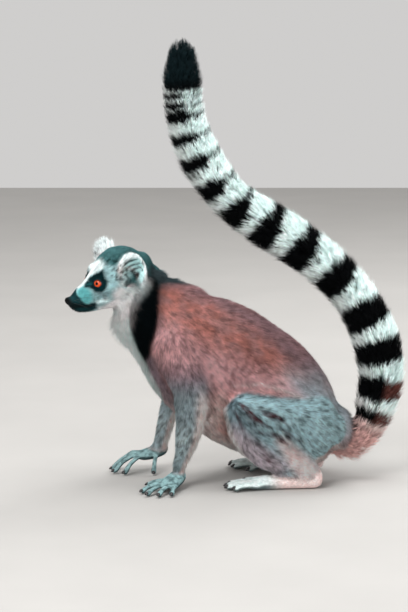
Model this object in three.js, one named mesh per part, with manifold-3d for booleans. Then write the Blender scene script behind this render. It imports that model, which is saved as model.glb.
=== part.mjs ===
// A ring-tailed lemur, life size, crouched on its haunches with both hands down
// and its tail raised over its back. Units are millimetres. The animal faces -X,
// its left side is towards -Y, and +Z is up from the floor that it rests on.
// The solids reach out to the tips of the coat, and a thin gap parts them where
// a person would name the parts.
import * as THREE from "three";
import { mergeVertices } from "three/addons/utils/BufferGeometryUtils.js";
import Module from "manifold-3d";

const wasm = await Module();
wasm.setup();

const GAP = 0.3; // between neighbouring nodes
const LEFT = -1; // sign of Y on the animal's left side
const RIGHT = 1;

// ---------- driving dimensions ----------

// Neck and trunk: pairs of points on the back and on the throat or belly, [x, z], and half the width there.
const BODY = [
  { back: [-107, 257], front: [-133, 204], half: 30 },
  { back: [-90, 245], front: [-139, 182], half: 34 },
  { back: [-75, 231], front: [-127, 162], half: 38 },
  { back: [-59, 222], front: [-111, 139], half: 44 },
  { back: [-39, 216], front: [-96, 110], half: 49 },
  { back: [-12, 209], front: [-70, 77], half: 53 },
  { back: [18, 197], front: [-31, 47], half: 57 },
  { back: [45, 179], front: [11, 28], half: 60 },
  { back: [71, 160], front: [46, 19], half: 60 },
  { back: [93, 136], front: [77, 17], half: 56 },
  { back: [108, 112], front: [99, 20], half: 46 },
  { back: [116, 91], front: [110, 32], half: 33 },
];
const BODY_SIDES = 16;
const BODY_WIDEST = 0.44; // share of the height, from the belly, where a section is widest
const NECK_CUT = 2.5; // in stations of BODY
const NECK_PLATE = 200; // across the cut's plate

// Head, in its own frame: [x, top, bottom, half width], the nose towards -x, before it is turned.
const HEAD = [
  [-59, -16.5, -27.5, 6.5],
  [-55, -12.5, -32, 9.5],
  [-48.5, -8, -35, 12],
  [-41, -3, -35, 15],
  [-34, 6, -34, 20],
  [-27, 17, -32.5, 25.5],
  [-18, 29, -31.5, 29.5],
  [-7, 37, -31, 32],
  [5, 39, -31, 34],
  [17, 36.5, -31, 34],
  [28, 29, -28, 31],
  [37, 19, -20, 24],
];
const HEAD_SIDES = 16;
const HEAD_WIDEST = 0.42;
const HEAD_FULLNESS = 0.86; // below 1, the sections are fuller than ellipses
const HEAD_AT = [-132, 0, 229];
const HEAD_TURN = 25; // degrees, towards the left
const EYE = {
  at: [-27, 13, -0.5],
  radius: 7,
  outwards: 38, // degrees from straight ahead to where it looks
  socket: 8.5,
  socketOut: 7.5,
};
const BROW = { at: [-23.5, 12, 8], radii: [9.5, 9.5, 12] };
const NOSE = { at: [-60, 0, -20], radii: [5, 6, 5] };
const EAR = {
  radii: [17, 9, 26], // fore and aft, deep, tall
  hollow: [14, 8, 22],
  hollowOut: 5.5,
};
// turn: degrees that the cup opens forwards. lean: degrees that its tip leans outwards.
const EAR_PLACE = {
  left: { at: [4, 33, 12], turn: 32, lean: 20 },
  right: { at: [1, 33, 15], turn: 16, lean: 10 },
};

// Tail, from inside the rump to the tip of its tuft: [x, y, z, radius].
const TAIL = [
  [110, 0, 36, 13],
  [132, 0, 38, 17],
  [153, 1, 67, 22],
  [166, 3, 109, 25],
  [162, 6, 155, 27],
  [138, 9, 206, 25],
  [94, 10, 252, 25.5],
  [38, 8, 290, 26.5],
  [-7, 5, 322, 23],
  [-37, 2, 364, 23],
  [-54, -1, 407, 21],
  [-59, -3, 453, 20],
  [-59, -4, 493, 11],
];
const TAIL_SIDES = 10;
const TAIL_CUTS = [3, 5, 6.5, 8, 9.7]; // in stations of TAIL
const LIMB_PLATE = 70; // across the plates that part the tail and the arms

// Legs and arms as [x, y, z, radius in the side view, radius across], y for the left side.
const THIGH = [
  [110, -37, 66, 22, 17],
  [101, -39, 67, 35, 24],
  [86, -43, 70, 39, 28],
  [68, -48, 75, 33, 28],
  [47, -53, 82, 27, 25],
  [24, -58, 89, 22, 21],
  [5, -61, 96, 17, 17],
];
const SHANK = [
  [-1, -61, 92, 13, 13],
  [7, -60, 73, 18, 17],
  [18, -58, 57, 20, 18],
  [35, -56, 43, 21, 18],
  [57, -53, 31, 18, 16],
  [79, -50, 22, 15, 13],
];
const LEFT_ARM = [
  [-72, -38, 166, 25, 20],
  [-60, -44, 141, 25, 20],
  [-51, -51, 115, 21, 18],
  [-49, -54, 95, 19, 17],
  [-50, -53, 75, 17, 15],
  [-54, -51, 55, 14, 12],
  [-58, -49, 38, 10, 10],
  [-63, -49, 25, 8, 9],
];
const RIGHT_ARM = [
  [-72, 38, 166, 25, 20],
  [-66, 44, 140, 24, 20],
  [-64, 50, 110, 18, 17],
  [-69, 51, 86, 14, 14],
  [-77, 49, 63, 11, 12],
  [-81, 47, 46, 10, 10],
  [-85, 45, 32, 8.5, 9],
  [-90, 45, 22, 8, 9],
];
const ELBOW_CUT = 2.6; // in stations of an arm
const LIMB_SIDES = 10;

// Hands and feet, in a frame that points them along -x with the little digit towards -y on the left.
const HAND = {
  palm: [
    [12, 0, 13, 8, 9],
    [0, 0, 9, 7.5, 12],
    [-13, 0, 7, 6, 13],
  ],
  digits: [
    { base: [-12, 9.5], turn: 16, length: 31 },
    { base: [-14, 3.2], turn: 4, length: 37 },
    { base: [-14, -3.4], turn: -8, length: 35 },
    { base: [-12, -9.5], turn: -20, length: 28 },
    { base: [2, 9], turn: 62, length: 24 },
  ],
  digitRadius: 3.7,
  flatKnuckle: 9, // height of the knuckles in a hand that lies flat
};
const FOOT = {
  sole: [
    [45, 0, 12, 13, 11],
    [13, 0, 9, 10, 11.5],
    [-26, 0, 6, 7, 13.5],
  ],
  digits: [
    { base: [-24, 7.5], turn: 7, length: 27 },
    { base: [-26, 1.5], turn: 0, length: 29 },
    { base: [-26, -4.5], turn: -6, length: 29 },
    { base: [-23, -10.5], turn: -14, length: 25 },
    { base: [-8, 10], turn: 34, length: 30 },
  ],
  digitRadius: 4.4,
  knuckle: 6.5,
};
const DIGIT_SIDES = 6;
const LEFT_HAND = { at: [-68, -55], turn: 60, knuckle: 10 };
const RIGHT_HAND = { at: [-94, 43], turn: 20, knuckle: 22 };
const LEFT_FOOT = { at: [45, -53], turn: 4 };
const RIGHT_FOOT = { at: [51, 50], turn: -4 };

// ---------- shapes ----------

const vec = (p) => new THREE.Vector3(...p);
const radians = THREE.MathUtils.degToRad;

// A ring of points about a centre, with its own reach to the side, up and down.
// A fullness below 1 fills the corners of the ellipse.
function ring(centre, side, up, down, sides, fullness = 1) {
  return Array.from({ length: sides }, (_, i) => {
    const angle = (i / sides) * 2 * Math.PI;
    const across = Math.sign(Math.cos(angle)) * Math.abs(Math.cos(angle)) ** fullness;
    const rise = Math.abs(Math.sin(angle)) ** fullness;
    return centre
      .clone()
      .addScaledVector(side, across)
      .addScaledVector(Math.sin(angle) >= 0 ? up : down, rise);
  });
}

function middle(points) {
  return points
    .reduce((sum, p) => sum.add(p), new THREE.Vector3())
    .divideScalar(points.length);
}

// Rings that round off an end, each smaller and further out along the way that the loft was going.
function dome(last, before, steps) {
  const centre = middle(last);
  const out = centre.clone().sub(middle(before)).normalize();
  const reach = last.reduce((sum, p) => sum + p.distanceTo(centre), 0) / last.length;
  return Array.from({ length: steps }, (_, i) => {
    const angle = ((i + 1) / (steps + 0.5)) * (Math.PI / 2);
    return last.map((p) =>
      p
        .clone()
        .sub(centre)
        .multiplyScalar(Math.cos(angle))
        .add(centre)
        .addScaledVector(out, reach * Math.sin(angle) * 0.8),
    );
  });
}

// Smooth rings between the given ones, perSpan to a span.
function between(rings, perSpan) {
  const lines = rings[0].map(
    (_, i) => new THREE.CatmullRomCurve3(rings.map((r) => r[i]), false, "centripetal"),
  );
  const count = (rings.length - 1) * perSpan;
  return Array.from({ length: count + 1 }, (_, k) => lines.map((line) => line.getPoint(k / count)));
}

// One closed solid through rings, its ends rounded in so many steps.
function loft(rings, perSpan, [atStart, atEnd] = [2, 2]) {
  const inner = between(rings, perSpan);
  const all = [
    ...dome(inner[0], inner[1], atStart).reverse(),
    ...inner,
    ...dome(inner[inner.length - 1], inner[inner.length - 2], atEnd),
  ];
  const sides = all[0].length;
  const points = [...all.flat(), middle(all[0]), middle(all[all.length - 1])];
  const faces = [];
  for (let k = 0; k + 1 < all.length; k++)
    for (let i = 0; i < sides; i++) {
      const next = (i + 1) % sides;
      const [a, b] = [k * sides + i, k * sides + next];
      faces.push(a, a + sides, b, b, a + sides, b + sides);
    }
  const [first, last] = [points.length - 2, points.length - 1];
  const lastRing = (all.length - 1) * sides;
  for (let i = 0; i < sides; i++) {
    const next = (i + 1) % sides;
    faces.push(first, i, next, last, lastRing + next, lastRing + i);
  }
  const geometry = new THREE.BufferGeometry().setFromPoints(points).setIndex(faces);
  return solid(geometry);
}

// A closed geometry as a solid that can be joined and cut, its faces turned to point out.
function solid(geometry) {
  const bare = geometry.clone().deleteAttribute("normal").deleteAttribute("uv");
  const merged = mergeVertices(bare, 1e-4);
  const vertProperties = merged.attributes.position.array;
  const triVerts = new Uint32Array(merged.index.array);
  const made = new wasm.Manifold(new wasm.Mesh({ numProp: 3, vertProperties, triVerts }));
  if (made.volume() > 0) return made;
  triVerts.reverse();
  return new wasm.Manifold(new wasm.Mesh({ numProp: 3, vertProperties, triVerts }));
}

function ball(at, radii, grow, pose = new THREE.Matrix4()) {
  const geometry = new THREE.SphereGeometry(1, 12, 6)
    .scale(...radii.map((r) => r + grow))
    .applyMatrix4(pose)
    .translate(...at);
  return solid(geometry);
}

// A limb or the tail: rings square to the path, [x, y, z, radius in the side view, radius across].
function limb(stations, sides, perSpan, grow, roundings) {
  const path = new THREE.CatmullRomCurve3(stations.map((s) => vec(s)), false, "centripetal");
  const rings = stations.map(([x, y, z, tall, wide = tall], i) => {
    const along = path.getTangent(i / (stations.length - 1));
    const side = new THREE.Vector3(0, 1, 0).addScaledVector(along, -along.y).normalize();
    const up = new THREE.Vector3().crossVectors(side, along);
    up.multiplyScalar(tall + grow);
    return ring(vec([x, y, z]), side.multiplyScalar(wide + grow), up, up.clone().negate(), sides);
  });
  return loft(rings, perSpan, roundings);
}

// A thin plate across a path at a station, such as 2.5, to part what the path runs through.
function plate(points, station, size) {
  const path = new THREE.CatmullRomCurve3(points.map((p) => vec(p)), false, "centripetal");
  const t = station / (points.length - 1);
  const turn = new THREE.Quaternion().setFromUnitVectors(
    new THREE.Vector3(0, 0, 1),
    path.getTangent(t),
  );
  const box = new THREE.BoxGeometry(size, size, GAP).applyQuaternion(turn);
  return solid(box.translate(...path.getPoint(t).toArray()));
}

// The pieces that plates leave of a solid, in the order of the path that they part.
function parted(whole, points, plates) {
  const order = (piece) => {
    const box = piece.boundingBox();
    const centre = vec(box.min).add(vec(box.max)).divideScalar(2);
    const away = points.map((p) => vec(p).distanceTo(centre));
    return away.indexOf(Math.min(...away));
  };
  const cut = plates.reduce((left, p) => left.subtract(p), whole);
  return cut.decompose().sort((a, b) => order(a) - order(b));
}

// The largest piece of a solid less its neighbours, which are given already grown by the gap.
function clearOf(whole, ...neighbours) {
  const left = neighbours.reduce((rest, n) => rest.subtract(n), whole);
  return left.decompose().sort((a, b) => b.volume() - a.volume())[0];
}

const floor = solid(new THREE.BoxGeometry(900, 900, 60).translate(0, 0, -30));
const onFloor = (shape) => shape.subtract(floor);

// ---------- the animal ----------

function body(grow) {
  const rings = BODY.map(({ back, front, half }) => {
    const top = new THREE.Vector3(back[0], 0, back[1]);
    const bottom = new THREE.Vector3(front[0], 0, front[1]);
    const height = top.distanceTo(bottom);
    const centre = bottom.clone().lerp(top, BODY_WIDEST);
    const up = top.clone().sub(centre);
    const down = bottom.clone().sub(centre);
    const side = new THREE.Vector3(0, half + grow, 0);
    const more = 1 + (2 * grow) / height;
    return ring(centre, side, up.multiplyScalar(more), down.multiplyScalar(more), BODY_SIDES);
  });
  return loft(rings, 2);
}

function placeOnHead(shape) {
  return shape.rotate([0, 0, HEAD_TURN]).translate(HEAD_AT);
}

const mirrored = ([x, y, z], side) => [x, side * y, z];

function head(grow) {
  const rings = HEAD.map(([x, top, bottom, half]) => {
    const centre = new THREE.Vector3(x, 0, bottom + (top - bottom) * HEAD_WIDEST);
    const up = new THREE.Vector3(0, 0, top - centre.z + grow);
    const down = new THREE.Vector3(0, 0, bottom - centre.z - grow);
    const side = new THREE.Vector3(0, half + grow, 0);
    return ring(centre, side, up, down, HEAD_SIDES, HEAD_FULLNESS);
  });
  const brows = [LEFT, RIGHT].map((side) => ball(mirrored(BROW.at, side), BROW.radii, grow));
  return placeOnHead(brows.reduce((whole, brow) => whole.add(brow), loft(rings, 1)));
}

function eye(side, grow) {
  return placeOnHead(ball(mirrored(EYE.at, side), Array(3).fill(EYE.radius), grow));
}

// The hollow that an eye looks out of.
function socket(side) {
  const look = radians(EYE.outwards);
  const [x, y, z] = mirrored(EYE.at, side);
  const at = [x - EYE.socketOut * Math.cos(look), y + side * EYE.socketOut * Math.sin(look), z];
  return placeOnHead(ball(at, Array(3).fill(EYE.socket), 0));
}

function nose(grow) {
  return placeOnHead(ball(NOSE.at, NOSE.radii, grow));
}

function earPose(side) {
  const { turn, lean } = EAR_PLACE[sideName[side]];
  return new THREE.Matrix4()
    .makeRotationZ(radians(side * turn))
    .multiply(new THREE.Matrix4().makeRotationX(radians(side * -lean)));
}

function earOutline(side, grow) {
  const { at } = EAR_PLACE[sideName[side]];
  return ball(mirrored(at, side), EAR.radii, grow, earPose(side));
}

// The ear is a shell: an egg shape less a smaller one set further out.
function ear(side) {
  const out = vec([0, side * EAR.hollowOut, 0]).applyMatrix4(earPose(side));
  const at = vec(mirrored(EAR_PLACE[sideName[side]].at, side)).add(out);
  return earOutline(side, 0).subtract(ball(at.toArray(), EAR.hollow, 0, earPose(side)));
}

// A finger or toe: it leaves the palm at the knuckle's height and comes down to a pad on the floor.
function digit({ base, turn, length }, side, radius, knuckle, grow) {
  const heading = radians(turn);
  const ahead = [-Math.cos(heading), -side * Math.sin(heading)];
  const [x, y] = [base[0], -side * base[1]];
  const at = (share, z, r) => [
    x + ahead[0] * length * share,
    y + ahead[1] * length * share,
    z,
    r,
  ];
  const path = [
    at(-0.25, knuckle - 2, radius),
    at(0.3, knuckle, radius),
    at(0.68, (knuckle + radius) / 2 + 0.6, radius * 0.88),
    at(0.92, radius - 0.6, radius * 1.08),
  ];
  return limb(path, DIGIT_SIDES, 1, grow, [0, 1]);
}

function placed(shape, { at, turn }) {
  return onFloor(shape.rotate([0, 0, turn]).translate([...at, 0]));
}

function hand(place, side, grow) {
  const rise = place.knuckle - HAND.flatKnuckle;
  const palm = HAND.palm.map(([x, y, z, ...radii]) => [x, y, z + rise * 0.85, ...radii]);
  let whole = limb(palm, LIMB_SIDES, 1, grow, [1, 1]);
  for (const d of HAND.digits)
    whole = whole.add(digit(d, side, HAND.digitRadius, place.knuckle - 2, grow));
  return placed(whole, place);
}

function foot(place, side, grow) {
  let whole = limb(FOOT.sole, LIMB_SIDES, 1, grow, [2, 1]);
  for (const d of FOOT.digits)
    whole = whole.add(digit(d, side, FOOT.digitRadius, FOOT.knuckle, grow));
  return placed(whole, place);
}

const otherSide = (stations) => stations.map(([x, y, ...rest]) => [x, -y, ...rest]);
const leg = { [LEFT]: THIGH, [RIGHT]: otherSide(THIGH) };
const lower = { [LEFT]: SHANK, [RIGHT]: otherSide(SHANK) };
const arm = { [LEFT]: LEFT_ARM, [RIGHT]: RIGHT_ARM };
const handPlace = { [LEFT]: LEFT_HAND, [RIGHT]: RIGHT_HAND };
const footPlace = { [LEFT]: LEFT_FOOT, [RIGHT]: RIGHT_FOOT };
const sideName = { [LEFT]: "left", [RIGHT]: "right" };

const FUR = { roughness: 0.9, metalness: 0 };
const colours = {
  grey: new THREE.MeshStandardMaterial({ color: 0x7d9696, ...FUR }),
  brown: new THREE.MeshStandardMaterial({ color: 0x9a7570, ...FUR }),
  white: new THREE.MeshStandardMaterial({ color: 0xd6dcda, ...FUR }),
  ringed: new THREE.MeshStandardMaterial({ color: 0x4a4f50, ...FUR }),
  leather: new THREE.MeshStandardMaterial({ color: 0x14201f, roughness: 0.5, metalness: 0 }),
  iris: new THREE.MeshStandardMaterial({ color: 0xd9541e, roughness: 0.1, metalness: 0 }),
};

const animal = new THREE.Group();

function node(name, shape, material) {
  const { vertProperties, triVerts } = shape.getMesh();
  const geometry = new THREE.BufferGeometry()
    .setAttribute("position", new THREE.BufferAttribute(vertProperties, 3))
    .setIndex(new THREE.BufferAttribute(triVerts, 1));
  const mesh = new THREE.Mesh(geometry, material);
  mesh.name = name;
  animal.add(mesh);
}

const spine = BODY.map(({ back, front }) => [(back[0] + front[0]) / 2, 0, (back[1] + front[1]) / 2]);
const wholeBody = body(GAP);
const wholeHead = head(GAP);
const ears = [LEFT, RIGHT].map((side) => placeOnHead(earOutline(side, GAP)));
const thighs = [LEFT, RIGHT].map((side) => limb(leg[side], LIMB_SIDES, 1, GAP));

function addHead() {
  const eyes = [LEFT, RIGHT].map((side) => eye(side, GAP));
  const sockets = [LEFT, RIGHT].map((side) => socket(side));
  node("head", clearOf(head(0), ...eyes, ...sockets, nose(GAP)), colours.white);
  node("nose", nose(0), colours.leather);
  for (const side of [LEFT, RIGHT]) {
    node(`eye_${sideName[side]}`, eye(side, 0), colours.iris);
    node(`ear_${sideName[side]}`, clearOf(placeOnHead(ear(side)), wholeHead), colours.white);
  }
}

function addTrunk() {
  const cut = plate(spine, NECK_CUT, NECK_PLATE);
  const [neck, trunk] = parted(body(0), spine, [cut]);
  node("neck", clearOf(neck, wholeHead, ...ears), colours.grey);
  node("trunk", trunk, colours.brown);
}

function addTail() {
  const whole = clearOf(limb(TAIL, TAIL_SIDES, 2, 0), wholeBody, ...thighs);
  const plates = TAIL_CUTS.map((station) => plate(TAIL, station, LIMB_PLATE));
  parted(whole, TAIL, plates).forEach((piece, i) => node(`tail_${i + 1}`, piece, colours.ringed));
}

function addLeg(side) {
  const name = sideName[side];
  const thigh = (grow) => limb(leg[side], LIMB_SIDES, 1, grow);
  const wholeFoot = (grow) => foot(footPlace[side], side, grow);
  const shank = limb(lower[side], LIMB_SIDES, 1, 0);
  node(`thigh_${name}`, clearOf(thigh(0), wholeBody), colours.grey);
  node(`shank_${name}`, clearOf(shank, wholeBody, thigh(GAP), wholeFoot(GAP)), colours.grey);
  node(`foot_${name}`, clearOf(wholeFoot(0), wholeBody, thigh(GAP)), colours.white);
}

function addArm(side) {
  const stations = arm[side];
  const name = sideName[side];
  const whole = clearOf(limb(stations, LIMB_SIDES, 1, 0), wholeBody);
  const cut = plate(stations, ELBOW_CUT, LIMB_PLATE);
  const [upper, fore] = parted(whole, stations, [cut]);
  node(`upper_arm_${name}`, upper, colours.grey);
  node(`forearm_${name}`, fore, colours.grey);
  const wrist = limb(stations, LIMB_SIDES, 1, GAP);
  node(`hand_${name}`, clearOf(hand(handPlace[side], side, 0), wrist), colours.leather);
}

addHead();
addTrunk();
addTail();
for (const side of [LEFT, RIGHT]) {
  addLeg(side);
  addArm(side);
}

// The origin is on the floor, midway along the animal's length and its width.
const { x, y } = new THREE.Box3().setFromObject(animal).getCenter(new THREE.Vector3());
animal.position.set(-x, -y, 0);

export default new THREE.Group().add(animal);
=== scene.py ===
"""A ring-tailed lemur, life size: one skin inside the CAD model, and a coat of tufts out to its outline.

Lengths in the tables are millimetres in the animal's own frame: the origin is on the floor in its median
plane, it faces -X and its left side is towards -Y. Blender's objects are in metres, in the CAD model's frame.
"""
import math
from collections import namedtuple

import bmesh
import bpy
import numpy as np
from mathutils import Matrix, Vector, kdtree
from mathutils.bvhtree import BVHTree


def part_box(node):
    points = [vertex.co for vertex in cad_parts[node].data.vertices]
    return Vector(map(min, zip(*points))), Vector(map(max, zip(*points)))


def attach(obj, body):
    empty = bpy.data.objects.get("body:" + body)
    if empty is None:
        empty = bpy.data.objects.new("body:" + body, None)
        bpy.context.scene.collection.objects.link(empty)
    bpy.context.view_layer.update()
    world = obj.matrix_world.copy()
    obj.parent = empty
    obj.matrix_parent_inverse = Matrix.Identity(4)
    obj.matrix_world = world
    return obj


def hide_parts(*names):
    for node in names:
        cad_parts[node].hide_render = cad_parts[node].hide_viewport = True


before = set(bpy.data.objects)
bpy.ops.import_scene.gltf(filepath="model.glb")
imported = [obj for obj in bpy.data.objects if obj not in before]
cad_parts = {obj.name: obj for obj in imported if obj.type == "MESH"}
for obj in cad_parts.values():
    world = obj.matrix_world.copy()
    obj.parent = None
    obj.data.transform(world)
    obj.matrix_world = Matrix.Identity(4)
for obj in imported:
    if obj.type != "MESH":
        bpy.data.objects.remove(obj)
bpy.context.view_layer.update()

SEED = 11
MM = 0.001

# ---------- where things are ----------

HEAD_TURN = math.radians(25)
HEAD_AT = np.array([-132.0, 0.0, 229.0])  # the head's centre
NOSE_IN_HEAD = np.array([-60.0, 0.0, -20.0])
EYE_IN_HEAD = np.array([-27.0, 13.0, -0.5])
EYE_RADIUS = 7.0
EYE_OUTWARDS = math.radians(38)
LEFT, RIGHT = -1, 1
PX = 1.13  # millimetres in a pixel of the photograph
ORIGIN_IN_PHOTO = (234.5, 480)  # the pixel where the animal's own frame has its origin
CAMERA_HEIGHT = math.radians(9)  # how far above the level the photograph looks from

# The tail's midline, from its root to its tip.
TAIL = [
    (110, 0, 36), (132, 0, 38), (153, 1, 67), (166, 3, 109), (162, 6, 155), (138, 9, 206), (94, 10, 252),
    (38, 8, 290), (-7, 5, 322), (-37, 2, 364), (-54, -1, 407), (-59, -3, 453), (-59, -4, 505),
]

# The lie of the coat: hair runs along each line, from its first point to its last. y is for the left side.
LIE = {
    "head": [(-185, -10, 215), (-160, -8, 245), (-125, 0, 262), (-95, 0, 250)],
    "neck": [(-140, 0, 220), (-105, 0, 195), (-80, 0, 170)],
    "trunk": [(-110, 0, 200), (-50, 0, 150), (20, 0, 110), (80, 0, 70), (118, 0, 30)],
    "thigh": [(20, -55, 105), (60, -50, 75), (110, -38, 35)],
    "shank": [(-1, -61, 92), (18, -58, 57), (57, -53, 31), (90, -50, 20)],
    "foot": [(95, -50, 12), (13, -54, 9), (-15, -56, 4)],
    "arm_left": [(-72, -38, 190), (-51, -51, 115), (-50, -53, 75), (-63, -49, 20)],
    "arm_right": [(-72, -38, 190), (-64, -50, 110), (-77, -49, 63), (-90, -45, 22)],
    "hand_left": [(-60, -42, 14), (-72, -62, 8), (-88, -92, 3)],
    "hand_right": [(-82, -45, 30), (-105, -40, 18), (-140, -28, 3)],
}

# The coat of each region. depth: how far the skin is below the CAD's surface; length and width: of a tuft;
# dense: tufts in a square centimetre; stray: how far they swing aside; rings: of points along a tuft; loose:
# how far tips may stand out beyond the CAD's outline; clump: how strongly they draw together; fleck: how much
# darker some are; root and tip: their shades, painted shade at a tuft's root and painted light at its tip.
COAT_KEYS = ("depth", "length", "width", "dense", "stray", "rings", "loose", "clump", "fleck", "root", "tip")
COAT_TABLE = {
    "nose": (0.0, 0.5, 0.30, 0, 0.10, 1, 0.2, 0.00, 0.00, 0.80, 1.10),
    "head": (1.6, 4.6, 0.46, 310, 0.18, 1, 0.9, 0.18, 0.35, 0.84, 1.14),
    "ear": (0.8, 4.5, 0.46, 210, 0.40, 1, 1.2, 0.20, 0.10, 0.90, 1.14),
    "neck": (5.5, 12.0, 0.58, 235, 0.22, 1, 2.2, 0.30, 0.25, 0.92, 1.18),
    "trunk": (5.0, 13.0, 0.62, 190, 0.24, 1, 2.2, 0.34, 0.68, 0.94, 1.22),
    "tail": (12.0, 21.0, 0.80, 112, 0.26, 2, 10.0, 0.60, 0.15, 0.90, 1.10),
    "upper_arm": (4.0, 11.0, 0.60, 170, 0.24, 1, 2.0, 0.32, 0.70, 0.92, 1.20),
    "forearm": (2.4, 7.0, 0.52, 195, 0.26, 1, 2.0, 0.30, 0.85, 0.92, 1.22),
    "hand": (0.7, 2.8, 0.40, 215, 0.22, 1, 0.4, 0.10, 0.50, 0.85, 1.15),
    "thigh": (4.0, 9.5, 0.60, 185, 0.26, 1, 2.0, 0.38, 0.95, 0.95, 1.24),
    "shank": (3.0, 8.5, 0.55, 190, 0.26, 1, 2.4, 0.28, 0.85, 0.99, 1.26),
    "foot": (0.9, 3.8, 0.42, 210, 0.22, 1, 0.6, 0.10, 0.40, 0.90, 1.15),
}
COAT = {region: dict(zip(COAT_KEYS, values)) for region, values in COAT_TABLE.items()}
REGIONS = list(COAT)
# How much a region's facets are smoothed.
SOFTNESS = dict(nose=0.25, head=0.45, ear=0.35, neck=1.0, trunk=1.0, tail=0.9, upper_arm=0.8, forearm=0.6,
                hand=0.22, thigh=0.9, shank=0.8, foot=0.25)
VOXEL = 1.25
SKIN_TRIANGLES = 190000

# ---------- colours, sRGB out of 255 ----------

BROWN = (211, 144, 133)
GREY_BROWN = (180, 143, 143)
PINK = (224, 176, 178)
REAR_EDGE = (156, 129, 136)
PALE_PINK = (255, 230, 226)
# Pale hair with painted rim light, along the flank's edge and the shanks' fronts.
LIT_FRINGE = (255, 238, 235)
HOCK_PINK = (255, 224, 222)
RUMP = (186, 204, 213)
UPPER_ARM = (158, 141, 152)
ELBOW = (156, 172, 178)
FOREARM = (198, 215, 220)
THIGH = (176, 207, 214)
THIGH_FRONT = (126, 148, 156)
SHANK = (198, 187, 195)
CREASE_SHADE = (78, 40, 46)
FOLD_SHADE = (112, 70, 72)
# DARK_TEAL is also painted shade under the paws, a painted shadow on the thigh's top and under the ear's rim.
DARK_TEAL = (34, 60, 64)
BAND = (5, 12, 15)
NAPE_GREY = (68, 82, 86)
CAP = (75, 119, 121)
WHITE = (224, 234, 234)
TEMPLE = (164, 197, 200)
FACE_TEAL = (98, 170, 172)
CHEEK = (128, 158, 160)
SPOT = (70, 78, 82)
RUFF = (238, 230, 230)
CHEST = (226, 250, 247)
MUZZLE = (14, 54, 58)
BLACK = (4, 5, 6)
PATCH_TEAL = (6, 38, 42)
EYE_TEAL = (36, 96, 100)
TIP_SHEEN_BLACK = (13, 26, 29)
TAIL_WHITE = (220, 240, 237)
TAIL_SHADE_GREY = (172, 164, 162)
TAIL_BROWN = (92, 56, 50)
TAIL_ROOT = (208, 166, 160)
FOOT = (234, 250, 248)
HAND = (156, 190, 192)
EAR_INSIDE = (206, 244, 244)
EAR_LOBE = (236, 250, 250)
IRIS = (208, 74, 26)
IRIS_EDGE = (112, 28, 10)
FLOOR = (172, 170, 167)


def linear(rgb):
    c = np.asarray(rgb, float) / 255
    return np.where(c <= 0.04045, c / 12.92, ((c + 0.055) / 1.055) ** 2.4)


# ---------- numbers and vectors ----------

def smoothstep(low, high, x):
    t = np.clip((x - low) / (high - low), 0, 1)
    return t * t * (3 - 2 * t)


def unit(v):
    return v / np.maximum(np.linalg.norm(v, axis=-1, keepdims=True), 1e-9)


def dot(a, b):
    return np.sum(a * b, axis=-1, keepdims=True)


def mix(a, b, share):
    share = np.asarray(share)
    return a + (b - a) * (share[:, None] if share.ndim == 1 else share)


def turned_z(points, angle):
    c, s = math.cos(angle), math.sin(angle)
    x, y, z = points[..., 0], points[..., 1], points[..., 2]
    return np.stack([c * x - s * y, s * x + c * y, z], axis=-1)


def in_head(points):
    """The animal's frame to the head's: the nose towards -x, its left towards -y."""
    return turned_z(points - HEAD_AT, -HEAD_TURN)


def out_of_head(points):
    return turned_z(points, HEAD_TURN) + HEAD_AT


def in_photo(points):
    """Where points of the left side show in the photograph, in its pixels."""
    rise = points[:, 2] * math.cos(CAMERA_HEIGHT) + points[:, 1] * math.sin(CAMERA_HEIGHT)
    return np.stack([ORIGIN_IN_PHOTO[0] + points[:, 0] / PX, ORIGIN_IN_PHOTO[1] - rise / PX], axis=1)


def body_in_photo(points):
    """The same for either side, as if it were the left."""
    return in_photo(np.stack([points[:, 0], -np.abs(points[:, 1]), points[:, 2]], axis=1))


def head_in_photo(points):
    local = in_head(points)
    local[:, 1] = -np.abs(local[:, 1])
    return in_photo(out_of_head(local))


def nearest_on(points, line):
    """For each point, the nearest place on a polyline: distance, tangent, length along, foot."""
    line = np.asarray(line, float)
    best = np.full(len(points), np.inf)
    tangent = np.zeros((len(points), line.shape[1]))
    along = np.zeros(len(points))
    foot = np.zeros((len(points), line.shape[1]))
    run = 0.0
    for a, b in zip(line[:-1], line[1:]):
        size = np.linalg.norm(b - a)
        t = np.clip((points - a) @ (b - a) / size**2, 0, 1)
        place = a + t[:, None] * (b - a)
        away = np.linalg.norm(points - place, axis=1)
        near = away < best
        best[near] = away[near]
        tangent[near] = (b - a) / size
        along[near] = run + t[near] * size
        foot[near] = place[near]
        run += size
    return best, tangent, along, foot


def curve(points, per_span=5):
    """A Catmull-Rom curve through points, as a finer polyline."""
    p = np.asarray(points, float)
    p = np.vstack([2 * p[0] - p[1], p, 2 * p[-1] - p[-2]])
    t = np.linspace(0, 1, per_span, endpoint=False)[:, None]
    fine = []
    for a, b, c, d in zip(p[:-3], p[1:-2], p[2:-1], p[3:]):
        square, cube = 2 * a - 5 * b + 4 * c - d, 3 * b - 3 * c + d - a
        fine.append(0.5 * (2 * b + (c - a) * t + square * t**2 + cube * t**3))
    return np.vstack(fine + [p[-2:-1]])


def stroke(places, line, radii, soft):
    """1 within a brush stroke in the photograph, whose radius changes along it, and 0 outside."""
    line = np.asarray(line, float)
    inside = np.full(len(places), -np.inf)
    for (a, b), (ra, rb) in zip(zip(line[:-1], line[1:]), zip(radii[:-1], radii[1:])):
        t = np.clip((places - a) @ (b - a) / np.sum((b - a) ** 2), 0, 1)
        away = np.linalg.norm(places - (a + t[:, None] * (b - a)), axis=1)
        inside = np.maximum(inside, ra + t * (rb - ra) - away)
    return smoothstep(-soft, soft, inside)


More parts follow.
